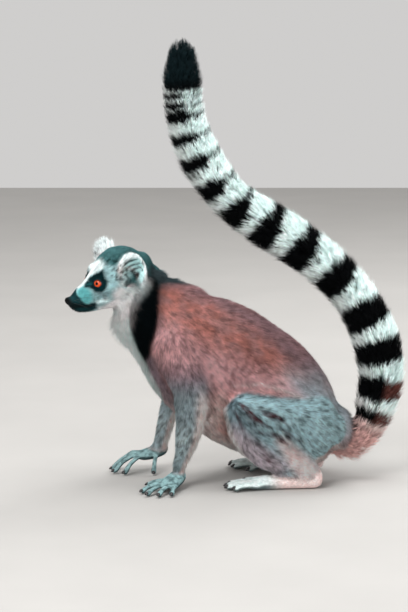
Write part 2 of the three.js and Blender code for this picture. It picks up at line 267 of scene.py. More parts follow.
def within(places, outline, soft):
    """1 inside an outline in the photograph, 0 outside."""
    line = np.array(list(outline) + [outline[0]], float)
    away = nearest_on(places, line)[0]
    inside = np.zeros(len(places), bool)
    x, y = places[:, 0], places[:, 1]
    for (ax, ay), (bx, by) in zip(line[:-1], line[1:]):
        slope = (bx - ax) / ((by - ay) or 1e-9)
        inside ^= ((ay > y) != (by > y)) & (x < ax + (y - ay) * slope)
    return smoothstep(-soft, soft, np.where(inside, away, -away))


LATTICE = np.random.default_rng(SEED).uniform(-1, 1, (64, 64, 64))
LATTICE_OFFSET = 1000  # keeps the cells' numbers above 0
LATTICE_GAIN = 1.5  # makes up for what the blending takes away


def cloud(points, size):
    """Smooth noise about -1 to 1 with lumps of this size: a lattice of random numbers, blended between."""
    place = points / size + LATTICE_OFFSET
    cell = np.floor(place).astype(int)
    share = smoothstep(0, 1, place - cell)
    out = np.zeros(len(points))
    for corner in np.ndindex(2, 2, 2):
        i, j, k = ((cell + corner) % len(LATTICE)).T
        weight = np.where(np.array(corner) == 1, share, 1 - share).prod(axis=1)
        out += weight * LATTICE[i, j, k]
    return out * LATTICE_GAIN


# ---------- the frame ----------

nose_low, nose_high = (np.array(corner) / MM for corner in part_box("nose"))
SHIFT = (nose_low + nose_high) / 2 - out_of_head(NOSE_IN_HEAD)  # from the animal's frame to the CAD's


def to_scene(points):
    return (np.asarray(points, float) + SHIFT) * MM


def region_of(name):
    for region in ("upper_arm", "forearm", "hand", "thigh", "shank", "foot", "ear", "tail"):
        if name.startswith(region):
            return region
    return name


FLESH = [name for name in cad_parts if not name.startswith("eye")]
FLESH_MESHES = [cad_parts[name].data for name in FLESH]


def numbers(*regions):
    return [REGIONS.index(region) for region in regions]


# ---------- mesh helpers ----------

def new_object(name, data):
    obj = bpy.data.objects.new(name, data)
    bpy.context.scene.collection.objects.link(obj)
    return obj


def read(items, key, width=1, kind=np.float32):
    """One property of all of a mesh's points, corners, edges or faces, as an array."""
    out = np.empty(len(items) * width, kind)
    items.foreach_get(key, out)
    return out.reshape(-1, width) if width > 1 else out


def points_of(mesh):
    return read(mesh.vertices, "co", 3).astype(float) / MM - SHIFT


def normals_of(mesh):
    return read(mesh.vertex_normals, "vector", 3).astype(float)


def corners_of(mesh):
    return read(mesh.loops, "vertex_index", kind=np.int32)


def triangles_of(mesh):
    mesh.calc_loop_triangles()
    return read(mesh.loop_triangles, "vertices", 3, np.int32)


def set_points(mesh, points):
    mesh.vertices.foreach_set("co", to_scene(points).astype(np.float32).ravel())
    mesh.update()


def set_smooth(mesh):
    mesh.polygons.foreach_set("use_smooth", np.ones(len(mesh.polygons), bool))


def mesh_from(name, points, faces):
    """A mesh from an array of points in the animal's frame and an array of faces with equal sides."""
    mesh = bpy.data.meshes.new(name)
    faces = np.asarray(faces, np.int32)
    mesh.vertices.add(len(points))
    mesh.vertices.foreach_set("co", to_scene(points).astype(np.float32).ravel())
    mesh.loops.add(faces.size)
    mesh.loops.foreach_set("vertex_index", faces.ravel())
    mesh.polygons.add(len(faces))
    mesh.polygons.foreach_set("loop_start", np.arange(0, faces.size, faces.shape[1], dtype=np.int32))
    set_smooth(mesh)
    mesh.update(calc_edges=True)
    return mesh


def gathered(lots):
    """Several lots of points and faces as one."""
    points, faces, count = [], [], 0
    for lot_points, lot_faces in lots:
        points.append(lot_points)
        faces.append(np.asarray(lot_faces) + count)
        count += len(lot_points)
    return np.vstack(points), np.vstack(faces)


def ball(detail, radius):
    """The points and triangles of a ball."""
    made = bmesh.new()
    bmesh.ops.create_icosphere(made, subdivisions=detail, radius=radius)
    points = np.array([v.co for v in made.verts])
    faces = np.array([[v.index for v in f.verts] for f in made.faces])
    made.free()
    return points, faces


def tube_faces(rings, sides):
    """The triangles between rings of points, one ring after another."""
    faces = []
    for first in range(0, (rings - 1) * sides, sides):
        for i in range(sides):
            a, b = first + i, first + (i + 1) % sides
            faces += [(a, b, b + sides), (a, b + sides, a + sides)]
    return faces


def paint(mesh, colours):
    layer = mesh.color_attributes.new("coat", "FLOAT_COLOR", "POINT")
    rgba = np.ones((len(colours), 4), np.float32)
    rgba[:, :3] = colours
    layer.data.foreach_set("color", rgba.ravel())


def put_uv(mesh, per_corner):
    layer = mesh.uv_layers.new(name="OFBake")
    layer.data.foreach_set("uv", per_corner.astype(np.float32).ravel())


def apply_modifiers(obj):
    depsgraph = bpy.context.evaluated_depsgraph_get()
    mesh = bpy.data.meshes.new_from_object(obj.evaluated_get(depsgraph))
    obj.modifiers.clear()
    old = obj.data
    obj.data = mesh
    bpy.data.meshes.remove(old)


def remesh(obj, size):
    """Turns an object's mesh into one closed surface with facets of this size."""
    modifier = obj.modifiers.new("remesh", "REMESH")
    modifier.mode = "VOXEL"
    modifier.voxel_size = size * MM
    apply_modifiers(obj)


def tree_of_points(points):
    tree = kdtree.KDTree(len(points))
    for k, p in enumerate(points.tolist()):
        tree.insert(p, k)
    tree.balance()
    return tree


class Net:
    """A mesh's edges, to average a value with its neighbours'."""

    def __init__(self, mesh):
        ends = read(mesh.edges, "vertices", 2, np.int32)
        self.a = np.concatenate([ends[:, 0], ends[:, 1]])
        self.b = np.concatenate([ends[:, 1], ends[:, 0]])
        self.size = len(mesh.vertices)
        self.degree = np.maximum(np.bincount(self.a, minlength=self.size), 1)

    def average(self, values):
        columns = values.reshape(self.size, -1).T
        sums = [np.bincount(self.a, weights=column[self.b], minlength=self.size) for column in columns]
        return (np.stack(sums, axis=1) / self.degree[:, None]).reshape(values.shape)

    def smooth(self, values, rounds, share=0.5):
        for _ in range(rounds):
            values = values + (self.average(values) - values) * share
        return values


# ---------- the skin ----------

SWELL = 0.4  # how far the nodes are swollen so that neighbours meet
LID = 0.9  # the lids' thickness over the eyeballs

# Small forms of the face, in the head's frame, with y outwards. A spot is its place, its half sizes, how far
# it is pushed out and from where to where the push fades. A line is its points, its push and its fading.
NOSTRIL = ((-63.6, 3.3, -19.6), (2.2, 1.5, 1.7), -2.2, 0.3, 1.3)
WHISKER_PAD = ((-52, 8.5, -21.5), (8, 5, 5), 0.9, 0.2, 1.2)
NOSTRIL_SLIT = ([(-63, 4.2, -20.4), (-60.5, 6.2, -22.0)], -0.8, 0.3, 1.4)
MOUTH_LINE = curve([(-65, 0, -26.5), (-60, 6, -27.2), (-48, 11, -27.4), (-34, 17.5, -23)], 6)
MOUTH = (MOUTH_LINE, -1.3, 0.2, 1.6)
LIP_GROOVE = ([(-66, 0, -22), (-64, 0, -26)], -0.6, 0.2, 1.0)
NOSE_RIDGE = 3.5  # how far the bridge of the nose is raised
# From where to where that fades: aside, by how far the skin faces upwards, and at its front and back ends.
RIDGE_ASIDE, RIDGE_UPWARD, RIDGE_FRONT, RIDGE_BACK = (1.5, 7.5), (-0.1, 0.3), (-56, -47), (-16, -25)
EAR_HOLLOW, CONCHA_HOLLOW, EAR_RIM_RAISED = 2.6, 4.5, 1.6
EAR_AHEAD, EAR_ASIDE = -0.35, 0.93  # the way the ears are open
EAR_RIM_RADIUS = 1.2


def cad_surface():
    """All the flesh as one tree to ask for the nearest surface, with each triangle's node."""
    lots = [(points_of(mesh), triangles_of(mesh)) for mesh in FLESH_MESHES]
    points, triangles = gathered(lots)
    nodes = np.repeat(np.arange(len(lots)), [len(tri) for _, tri in lots])
    return BVHTree.FromPolygons(points.tolist(), triangles.tolist()), nodes


def nearest_nodes(points):
    """The CAD node that is nearest to each point, by its number in FLESH."""
    tree, nodes = cad_surface()
    return nodes[[tree.find_nearest(p)[2] for p in points.tolist()]]


def swollen(mesh):
    points, tri = points_of(mesh), triangles_of(mesh)
    face = unit(np.cross(points[tri[:, 1]] - points[tri[:, 0]], points[tri[:, 2]] - points[tri[:, 0]]))
    normal = np.zeros_like(points)
    for k in range(3):
        np.add.at(normal, tri[:, k], face)
    return points + unit(normal) * SWELL, tri


def joined_flesh():
    """The CAD's flesh in one mesh, a little swollen so that neighbours meet, with the eyes' places filled."""
    lots = [swollen(mesh) for mesh in FLESH_MESHES]
    points, faces = ball(3, EYE_RADIUS + LID)
    lots += [(points + out_of_head(EYE_IN_HEAD * [1, side, 1]), faces) for side in (LEFT, RIGHT)]
    return mesh_from("skin", *gathered(lots))


def spread(values, regions, net, rounds):
    """Each region's value at each point, blended over the borders."""
    table = np.array([values[region] for region in REGIONS], float)
    return net.smooth(table[regions], rounds)


def pushed(points, normals, away, push, near, far):
    """Points moved along their normals, wholly where away is below near and not at all beyond far."""
    return points + normals * push * (1 - smoothstep(near, far, away))[:, None]


def spot_pushed(points, normals, side, spot):
    place, size, *push = spot
    away = np.linalg.norm((points - np.array(place) * [1, side, 1]) / size, axis=1)
    return pushed(points, normals, away, *push)


def line_pushed(points, normals, side, pressed_line):
    line, *push = pressed_line
    away = nearest_on(points, np.array(line) * [1, side, 1])[0]
    return pushed(points, normals, away, *push)


def sculpt_head(points, normals, weight):
    """Lids around the eyes, nostrils, the mouth's line, whisker pads, the nose's bridge and hollow ears."""
    local = in_head(points)
    local_normals = turned_z(normals, -HEAD_TURN)
    for side in (LEFT, RIGHT):
        local = lids(local, side)
        local = spot_pushed(local, local_normals, side, NOSTRIL)
        local = line_pushed(local, local_normals, side, NOSTRIL_SLIT)
        local = line_pushed(local, local_normals, side, MOUTH)
        local = spot_pushed(local, local_normals, side, WHISKER_PAD)
    ridge = 1 - smoothstep(*RIDGE_ASIDE, np.abs(local[:, 1]))
    ridge = ridge * smoothstep(*RIDGE_UPWARD, local_normals[:, 2])
    ridge = ridge * smoothstep(*RIDGE_FRONT, local[:, 0]) * smoothstep(*RIDGE_BACK, local[:, 0])
    local = local + local_normals * (NOSE_RIDGE * ridge)[:, None]
    local = cupped_ears(points, local, local_normals)
    local = line_pushed(local, local_normals, RIGHT, LIP_GROOVE)
    return mix(points, out_of_head(local), weight)


def cupped_ears(points, local, local_normals):
    """Hollows out the ears, deepest at the opening low down, inside a rim."""
    at = head_in_photo(points)
    side = np.sign(local[:, 1])
    outwards = local_normals[:, 1] * side - 0.3 * local_normals[:, 0]
    facing = smoothstep(0.0, 0.4, outwards)
    hollow = EAR_HOLLOW * within(at, EAR_HAIR, 2.0) + CONCHA_HOLLOW * within(at, CONCHA, 2.0)
    rim = EAR_RIM_RAISED * stroke(at, EAR_RIM, [EAR_RIM_RADIUS] * len(EAR_RIM), 1.6)
    push = (rim * (1 - within(at, EAR_HAIR, 1.5)) - hollow) * facing
    way = np.stack([np.full(len(side), EAR_AHEAD), side * EAR_ASIDE, np.zeros(len(side))], axis=1)
    return local + push[:, None] * way


def eye_axes(side):
    look = unit(np.array([-math.cos(EYE_OUTWARDS), side * math.sin(EYE_OUTWARDS), 0.05]))
    across = unit(np.cross([0, 0, 1], look) * side)  # towards the nose
    return look, across, np.cross(look, across) * side


def eye_angles(local, side):
    """Where points are about an eye: the angles towards the nose and upwards, the distance, how far ahead."""
    look, across, up = eye_axes(side)
    up = up * np.sign(up[2])
    rel = local - EYE_IN_HEAD * [1, side, 1]
    ahead = rel @ look
    return np.arctan2(rel @ across, ahead), np.arctan2(rel @ up, ahead), np.linalg.norm(rel, axis=1), ahead


# The lids' opening, in radians from the middle of the eye.
TO_NOSE, TO_EAR, TO_BROW, TO_CHEEK = 0.92, 0.80, 0.66, 0.60
CORNER_NARROWS = 0.25  # how much less tall the opening is at its corner
BEHIND_EYE = 1.0  # how far below the eyeball's surface the skin is in the opening
LID_REACH = 6  # how far beyond the eyeball the skin is drawn to the lids
# Lids rise and end between these values of lid_opening.
LIDS_RISE, LIDS_END = (0.90, 1.06), (1.15, 2.1)


def lid_opening(nasal, upward):
    """Below 1 in the opening between the lids, an almond with its corner towards the nose."""
    wide = np.where(nasal > 0, TO_NOSE, TO_EAR)
    corner = np.clip(nasal / TO_NOSE, -1, 1)
    tall = np.where(upward > 0, TO_BROW, TO_CHEEK) * (1 - CORNER_NARROWS * corner * (corner > 0))
    return np.sqrt((nasal / wide) ** 2 + (upward / tall) ** 2)


def lids(local, side):
    nasal, upward, away, ahead = eye_angles(local, side)
    opening = lid_opening(nasal, upward)
    near = (ahead > 0) & (away < EYE_RADIUS + LID_REACH)
    inner = EYE_RADIUS - BEHIND_EYE
    rim = EYE_RADIUS + LID
    target = inner + (rim - inner) * smoothstep(*LIDS_RISE, opening)
    target = target + (away - target) * smoothstep(*LIDS_END, opening)
    scale = np.where(near, target / np.maximum(away, 1e-6), 1.0)
    centre = EYE_IN_HEAD * [1, side, 1]
    return centre + (local - centre) * scale[:, None]


INWARD_STEPS = 8
INWARD_SHARE = 0.35  # how much each step is smoothed where a region is softest


def inwards(obj, net, depth, softness):
    """Moves the skin inwards by the coat's depth, in small steps that keep it smooth."""
    for _ in range(INWARD_STEPS):
        points = points_of(obj.data) - normals_of(obj.data) * (depth / INWARD_STEPS)[:, None]
        points = mix(points, net.average(points), INWARD_SHARE * softness)
        set_points(obj.data, points)


SMOOTH_ROUNDS = 60
SMOOTH_SHARE, JOIN_SHARE = 0.5, 0.9  # how much each round smooths, everywhere and at the joins
# Where two parts of the body run into each other without an edge, and how far round.
JOINS = [
    ((-62, 42, 172), 50), ((-62, -42, 172), 50), ((-84, 0, 257), 32), ((88, 36, 96), 40),
    ((88, -36, 96), 40),
]
# Places on the nape, how far round them the skin is moved, and how far out.
NAPE_LINE = [
    ((-86, 0, 247), 16, -0.6), ((-99, 0, 253), 17, 4.4), ((-76, 0, 232), 15, 1.4), ((-84, 0, 238), 10, 3.4),
    ((-58, 0, 219), 34, 6.2),
]
NAPE_OUTWARDS = [0.55, 0, 0.83]
FLOOR_GAP = 0.05  # between the floor and the skin
TIP_FROM, TIP_SHARE = 455, 0.62  # above this height the tail's skin is shortened to this share
# From which to which height the coat gets thinner, and by how much: on the upper tail and near its tip.
UPPER_TAIL, UPPER_TAIL_LESS = (300, 400), 0.3
NEAR_TIP, NEAR_TIP_LESS = (430, 488), 0.46


def blended_joins(points, net):
    reaches = [smoothstep(0.5, 1.0, np.linalg.norm(points - at, axis=1) / reach) for at, reach in JOINS]
    soft = 1 - np.min(reaches, axis=0)
    for _ in range(SMOOTH_ROUNDS):
        points = mix(points, net.average(points), JOIN_SHARE * soft)
    for at, reach, push in NAPE_LINE:
        share = 1 - smoothstep(0.25, 1.0, np.linalg.norm(points - at, axis=1) / reach)
        points = points + np.outer(push * share, NAPE_OUTWARDS)
    return points


def coat_depth(points, regions, net):
    """How far below the outline the skin is: less along the upper tail, and least at its tip."""
    depth = spread({name: coat["depth"] for name, coat in COAT.items()}, regions, net, 60)
    tail = np.isin(regions, numbers("tail"))
    upper_tail = smoothstep(*UPPER_TAIL, points[:, 2]) * tail
    near_tip = smoothstep(*NEAR_TIP, points[:, 2]) * tail
    return depth * (1 - UPPER_TAIL_LESS * upper_tail) * (1 - NEAR_TIP_LESS * near_tip)


def make_dense_skin():
    """The skin before it is thinned and its net; each point's node, region and depth below the outline; and
    the outline."""
    obj = new_object("skin", joined_flesh())
    remesh(obj, VOXEL)
    net = Net(obj.data)
    points = points_of(obj.data)
    nodes = nearest_nodes(points)
    regions = np.array(numbers(*(region_of(name) for name in FLESH)))[nodes]
    softness = spread(SOFTNESS, regions, net, 10)
    for _ in range(SMOOTH_ROUNDS):
        points = mix(points, net.average(points), SMOOTH_SHARE * softness)
    outer = blended_joins(points, net)
    set_points(obj.data, outer)
    outline = BVHTree.FromObject(obj, bpy.context.evaluated_depsgraph_get())
    inwards(obj, net, coat_depth(outer, regions, net), softness)
    near_head = net.smooth(np.isin(regions, numbers("head", "nose", "ear")).astype(float), 6)
    points = sculpt_head(points_of(obj.data), normals_of(obj.data), smoothstep(0.3, 0.7, near_head))
    height = np.maximum(points[:, 2], FLOOR_GAP)
    points[:, 2] = np.where(height > TIP_FROM, TIP_FROM + (height - TIP_FROM) * TIP_SHARE, height)
    set_points(obj.data, points)
    gap = dot(outer - points, normals_of(obj.data))[:, 0]
    return obj, net, nodes, regions, gap, outline


THIN_LEVELS = 10  # the steps that the thinning is graded in
THIN_FACTOR = 3.0  # how strongly the grade counts


def thinned(obj, fine):
    """A copy with fewer triangles, thinned most where fine is 0."""
    copy = new_object("skin_thin", obj.data.copy())
    group = copy.vertex_groups.new(name="thin")
    for level in range(THIN_LEVELS + 1):
        picked = np.flatnonzero(np.round((1 - fine) * THIN_LEVELS) == level)
        if len(picked):
            group.add(picked.tolist(), level / THIN_LEVELS, "REPLACE")
    decimate = copy.modifiers.new("decimate", "DECIMATE")
    decimate.ratio = SKIN_TRIANGLES / (2 * len(obj.data.polygons))
    decimate.vertex_group = "thin"
    decimate.vertex_group_factor = THIN_FACTOR
    apply_modifiers(copy)
    copy.vertex_groups.clear()
    return copy


# ---------- the markings ----------

# Outlines and lines in the photograph's pixels.
NAPE = [
    (130, 244), (152, 248), (168, 259), (186, 273), (202, 282), (188, 287), (174, 287), (164, 291),
    (158, 300), (150, 296), (143, 284), (140, 262),
]
CHEST_OUTLINE = [
    (96, 300), (150, 284), (141, 299), (136, 310), (134, 322), (135, 332), (139, 346), (145, 361),
    (151, 376), (160, 392), (164, 404), (150, 408), (128, 396), (110, 372),
]
THROAT_OUTLINE = [
    (96, 286), (147, 276), (149, 283), (145, 291), (140, 300), (135, 310), (133, 320), (122, 326),
    (100, 322),
]
BAND_OUTLINE = [
    (150, 279), (148, 284), (143, 291), (136.5, 299), (132, 309), (130.5, 320), (131, 331), (134.5, 343),
    (139.5, 354), (147, 366), (151, 358), (153, 347), (157, 337), (160, 324), (161, 309), (162, 297),
    (161, 284), (156, 274),
]
BACK_OUTLINE = [
    (165, 286), (171, 284), (179, 284), (187, 285), (195, 286), (206, 290), (230, 296), (230, 366),
    (152, 366), (150, 344), (154, 331), (158, 319), (160, 307), (161, 296),
]
CAP_OUTLINE = [
    (96, 257), (96, 240), (150, 236), (170, 250), (170, 300), (152, 296), (146, 282), (143, 264),
    (141, 251), (131, 251), (122, 257), (118, 266), (113, 266), (106, 263), (101, 260),
]
BROW_OUTLINE = [
    (97, 256.5), (90, 250), (70, 288), (78, 289), (80.5, 287), (84.5, 282), (87.5, 277.5), (91, 274.5),
    (97, 272.6), (102, 271), (106, 266), (104, 261.5), (101, 259),
]
PATCH_OUTLINE = [
    (85.0, 287.4), (86.4, 282), (90, 277), (95, 273.8), (100, 273), (103.8, 269.6), (105.6, 274.4),
    (108.6, 280), (109.2, 286), (106.8, 290.2), (102.6, 292.6), (97.6, 291.8), (93.4, 289.6), (89.4, 288.4),
]
TEAR_OUTLINE = [
    (83, 281), (78.5, 287), (77, 295), (80, 300), (84, 307), (89, 305), (93, 301), (93.5, 295), (90, 289),
    (85, 286),
]
CHEEK_OUTLINE = [(91, 290), (97, 293), (106, 291), (113, 289), (116, 300), (104, 307), (84, 306), (90, 300)]
JOWL_OUTLINE = [(100, 306), (112, 294), (122, 287), (140, 291), (150, 292), (150, 312), (100, 316)]
MUZZLE_OUTLINE = [
    (60, 280), (78.5, 286.5), (77.6, 291), (78.4, 295), (81, 297.6), (84, 301.5), (86, 304), (97, 303.5),
    (98, 309), (80, 316), (60, 314),
]
EAR_WHOLE = [
    (118.5, 272), (121, 263), (128, 254), (137, 250), (146, 254), (152, 263), (154, 275), (151.5, 288),
    (144, 296), (135, 298), (126, 294), (120.5, 285),
]
EAR_HAIR = [
    (124, 270), (126.5, 264.5), (132.5, 260), (139.5, 259), (143.5, 264), (145.4, 273), (143.5, 282),
    (139, 287), (132, 290), (126, 288),
]
EAR_RIM = [
    (120, 272), (124, 263), (132, 255.5), (141, 254.5), (148, 261), (151, 272), (149, 284), (142, 291),
    (133, 294.5), (124, 291),
]
# Dark lines in and in front of the ear; the first, under the ear's upper rim, is a painted shadow.
EAR_LINES = [
    [(124, 267), (130, 262), (140, 259.5)], [(126, 271), (132, 266), (141, 264)],
    [(128, 275.5), (134, 270), (143, 267.5)], [(119, 271), (118.6, 277), (121, 283)],
    [(116, 268), (115.6, 273), (117.5, 279)], [(122.5, 276), (122, 282), (124.5, 288)],
]
# The ear's opening, painted black: painted shade in its hollow.
CONCHA = [
    (127, 287.5), (126, 283.5), (129, 279), (133, 276), (138.5, 272.5), (140.4, 274), (138, 279),
    (134, 283.5), (131, 287.5),
]
THROAT_FRONT = [(111, 305), (109, 318), (117, 333)]
HOCK_LINE = [(281, 441), (296, 458), (314, 478), (330, 488)]
SHANK_FRONT = [(226, 391), (220.5, 404), (222, 418), (230, 438), (242, 458), (256, 472)]
FLANK_EDGE = [(234, 387), (262, 385), (296, 395), (318, 404)]
FOLDS = [
    [(231, 386), (237, 370), (243, 357)], [(237, 382), (246, 366), (257, 352)],
    [(243, 381), (256, 368), (270, 359)], [(226, 384), (229, 366), (231, 350)],
]
CREASES = [
    [(232, 410), (240, 418), (246, 430)], [(262, 408), (272, 416), (286, 420)],
    [(244, 436), (256, 444), (264, 447)], [(239, 402), (245, 408), (256, 416)],
    [(246, 414), (254, 419), (268, 424)], [(254, 428), (271, 435), (290, 443)],
    [(275, 430), (289, 434), (303, 443)], [(262, 442), (268, 452), (271, 462)],
]
TAIL_LINE = curve(TAIL)
TAIL_LONG = np.linalg.norm(np.diff(TAIL_LINE, axis=0), axis=1).sum()
TAIL_TIP = 53 * PX
TAIL_BROWN_FROM = (415, 425)  # from the tip, in pixels: the outside of the lowest rings is brown
# Black rings by their distance from the tip in pixels, half their width on the inside and on the outside of
# the curve, and how far round from the outside they widen.
RINGS_SEEN = [
    (58.5, 3.0, 0.8, 0.4), (67, 3.6, 1.0, 0.3), (77.5, 6.0, 1.6, 0.2), (99.5, 5.0, 1.6, 0.15),
    (124, 7.0, 2.0, 0.2), (135, 2.0, 0.3, 0.6), (154.5, 9.5, 3.0, 0.2), (185.5, 11, 4.0, 0.15),
    (221, 13, 7, 0.15), (262, 14, 8, 0.1), (307, 14.5, 9.5, 0.1), (354.5, 15, 11, 0.1), (395, 13, 11, 0.1),
    (433, 13.5, 8, 0.2), (461, 7, 5, 0.2), (476, 2.5, 0.5, 0.6),
]
TAIL_RINGS = [(at * PX, wide * PX, narrow * PX, turn) for at, wide, narrow, turn in RINGS_SEEN]
EAR_LOBE_BELOW = [(128, 294), (139, 294), (146, 285)]
FLECKED = [
    (104, 258), (122, 262), (146, 262), (146, 288), (122, 292), (92, 304), (98, 292), (108, 290),
    (108, 272),
]

# A mark is a stroke with a radius at each of its points, or without radii an outline that is filled. soft:
# how far its edge fades; strength: how much it covers; aside: from where to where it starts beside the head's
# middle.
Mark = namedtuple("Mark", "rgb line radii soft strength aside", defaults=(1, None))
TRUNK_MARKS = [
    Mark(PINK, [(165, 345), (205, 372), (250, 382), (292, 388)], [22, 24, 18, 10], 16),
    # The back's upper edge: its own darker hair, with painted shade along it.
    Mark(REAR_EDGE, [(172, 280), (225, 300), (280, 333), (318, 372)], [5, 8, 13, 15], 11, 0.85),
    Mark(RUMP, [(292, 378), (315, 395), (335, 420)], [2, 18, 28], 24),
    Mark(UPPER_ARM, [(150, 366), (160, 388), (172, 408)], [8, 9, 9], 6, 0.9),
    Mark(PALE_PINK, [(195, 430), (214, 420), (222, 400)], [16, 12, 5], 9, 0.7),
    # Pale hair with painted light along the flank's edge over the thigh.
    Mark(LIT_FRINGE, FLANK_EDGE, [0.6, 1.6, 1.4, 0.6], 1.4, 0.55),
]
# Painted shade in the folds of the flank in front of the thigh.
FOLD_SHADE_MARKS = [Mark(FOLD_SHADE, line, [0.9, 1.2, 0.3], 0.9, 0.8) for line in FOLDS]
LEG_MARKS = [
    Mark(THIGH_FRONT, [(226, 398), (238, 424), (262, 450)], [14, 14, 8], 14),
    Mark(SHANK, [(232, 432), (252, 456), (276, 466)], [8, 15, 12], 9),
    # Painted shadow along the thigh's top, under the flank's edge.
    Mark(DARK_TEAL, [(232, 392), (250, 391), (275, 397)], [3.5, 2.5, 1.5], 4, 0.7),
    Mark(HOCK_PINK, HOCK_LINE, [4, 9, 12, 13], 6),
]
FACE_MARKS = [
    Mark(RUFF, JOWL_OUTLINE, None, 4),
    Mark(EAR_LOBE, [(124, 296), (136, 297), (147, 288)], [3, 6, 6], 4),
    Mark(CHEEK, CHEEK_OUTLINE, None, 3),
    Mark(FACE_TEAL, TEAR_OUTLINE, None, 3.4, aside=(1.5, 4.5)),
    Mark(EAR_LOBE, [(99, 302), (108, 300)], [1.6, 2.4], 2.2, 0.7),
    Mark(CAP, CAP_OUTLINE, None, 1.6),
    Mark(WHITE, BROW_OUTLINE, None, 1.2),
]
DARK_FACE_MARKS = [
    Mark(SPOT, [(104.8, 296.6), (106.2, 298.4)], [1.8, 1.8], 1.5, 0.8),
    Mark(SPOT, [(98, 291.5), (104, 294.5)], [2.4, 2.0], 2.6, 0.6),
    Mark(PATCH_TEAL, PATCH_OUTLINE, None, 1.2, aside=(2.4, 4.4)),
    Mark(EYE_TEAL, [(88.4, 284.6), (92, 283.4)], [1.0, 1.6], 1.4, 0.8),
    Mark(MUZZLE, MUZZLE_OUTLINE, None, 0.9),
    Mark(BLACK, [(66, 303), (74, 306), (84, 306), (97, 305)], [4, 3, 2, 1.2], 1.6, 0.8),
    Mark(BLACK, [(66, 299), (68, 301)], [4, 4], 2.5, 0.9),
]


def tinted(colours, rgb, share):
    return mix(colours, linear(rgb), share)


def painted(colours, at, marks, aside=None):
    """Colours at places in the photograph with marks painted over them in turn."""
    for mark in marks:
        if mark.radii:
            share = stroke(at, mark.line, mark.radii, mark.soft)
        else:
            share = within(at, mark.line, mark.soft)
        if mark.aside:
            share = share * smoothstep(*mark.aside, aside)
        colours = tinted(colours, mark.rgb, share * mark.strength)
    return colours


